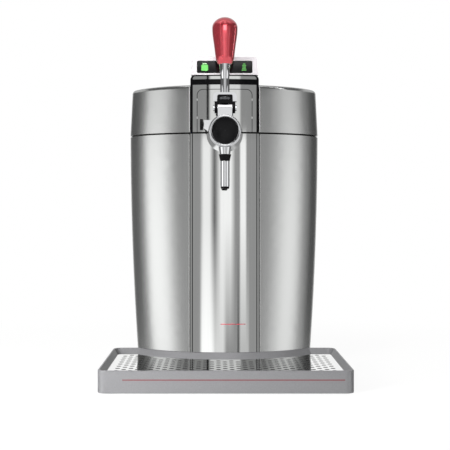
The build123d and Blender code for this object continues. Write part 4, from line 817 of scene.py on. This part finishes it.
# lit symbols in the window: a keg on the left, a stack of bars on the right
symbols = {
    "face": -89.1, "proud": 0.2, "middle": 413.5,
    "kegPlace": -26.9, "kegWidth": 9.4, "kegHeight": 8.4, "kegCorner": 1.9, "kegCollarWidth": 5.6,
    "kegCollarHeight": 1.2, "kegGap": 0.8,
    "barPlace": 26.3, "barHeight": 1.55, "barPitch": 2.05, "barWidths": (6.4, 5.4, 4.4, 5.4, 3.2),
}


def roundedOutline(x, z, width, height, corner, turns=5):
    # a rounded rectangle seen from the front, anticlockwise
    points = []
    for cx, cz, start in ((1, -1, 270), (1, 1, 0), (-1, 1, 90), (-1, -1, 180)):
        for i in range(turns + 1):
            t = math.radians(start + 90 * i / turns)
            points.append((x + cx * (width / 2 - corner) + corner * math.cos(t),
                           z + cz * (height / 2 - corner) + corner * math.sin(t)))
    return points


def tiles(name, outlines, face, proud):
    # flat tiles standing a little proud of an upright face, edges slightly drawn in
    work = bmesh.new()
    for outline in outlines:
        cx = sum(x for x, _ in outline) / len(outline)
        cz = sum(z for _, z in outline) / len(outline)
        back = [work.verts.new((x * mm, face * mm, z * mm)) for x, z in outline]
        front = [work.verts.new(((x + (cx - x) * 0.03) * mm, (face - proud) * mm, (z + (cz - z) * 0.03) * mm))
                 for x, z in outline]
        work.faces.new(front)
        work.faces.new(back[::-1])
        for i in range(len(outline)):
            j = (i + 1) % len(outline)
            work.faces.new((back[i], back[j], front[j], front[i]))
    bmesh.ops.recalc_face_normals(work, faces=work.faces)
    mesh = bpy.data.meshes.new(name)
    work.to_mesh(mesh)
    work.free()
    return mesh


def makeSymbols():
    s = symbols
    low = s["middle"] - (s["kegHeight"] + s["kegGap"] + s["kegCollarHeight"]) / 2
    keg = roundedOutline(s["kegPlace"], low + s["kegHeight"] / 2, s["kegWidth"], s["kegHeight"], s["kegCorner"])
    meshPiece("kegSymbol", tiles("kegSymbol", [keg], s["face"], s["proud"]), "lid", litGreen)
    collar = roundedOutline(s["kegPlace"], low + s["kegHeight"] + s["kegGap"] + s["kegCollarHeight"] / 2,
                            s["kegCollarWidth"], s["kegCollarHeight"], 0.3)
    meshPiece("kegCollarSymbol", tiles("kegCollarSymbol", [collar], s["face"], s["proud"]), "lid",
              makeLampGreen("pale lit green", "#8dbb86", "#a9cda2", 0.3))
    first = s["middle"] - s["barPitch"] * (len(s["barWidths"]) - 1) / 2
    bars = [roundedOutline(s["barPlace"], first + i * s["barPitch"], width, s["barHeight"], 0.35)
            for i, width in enumerate(s["barWidths"])]
    meshPiece("levelSymbol", tiles("levelSymbol", bars, s["face"], s["proud"]), "lid", litGreen)
    print("symbols lit")


makeSymbols()
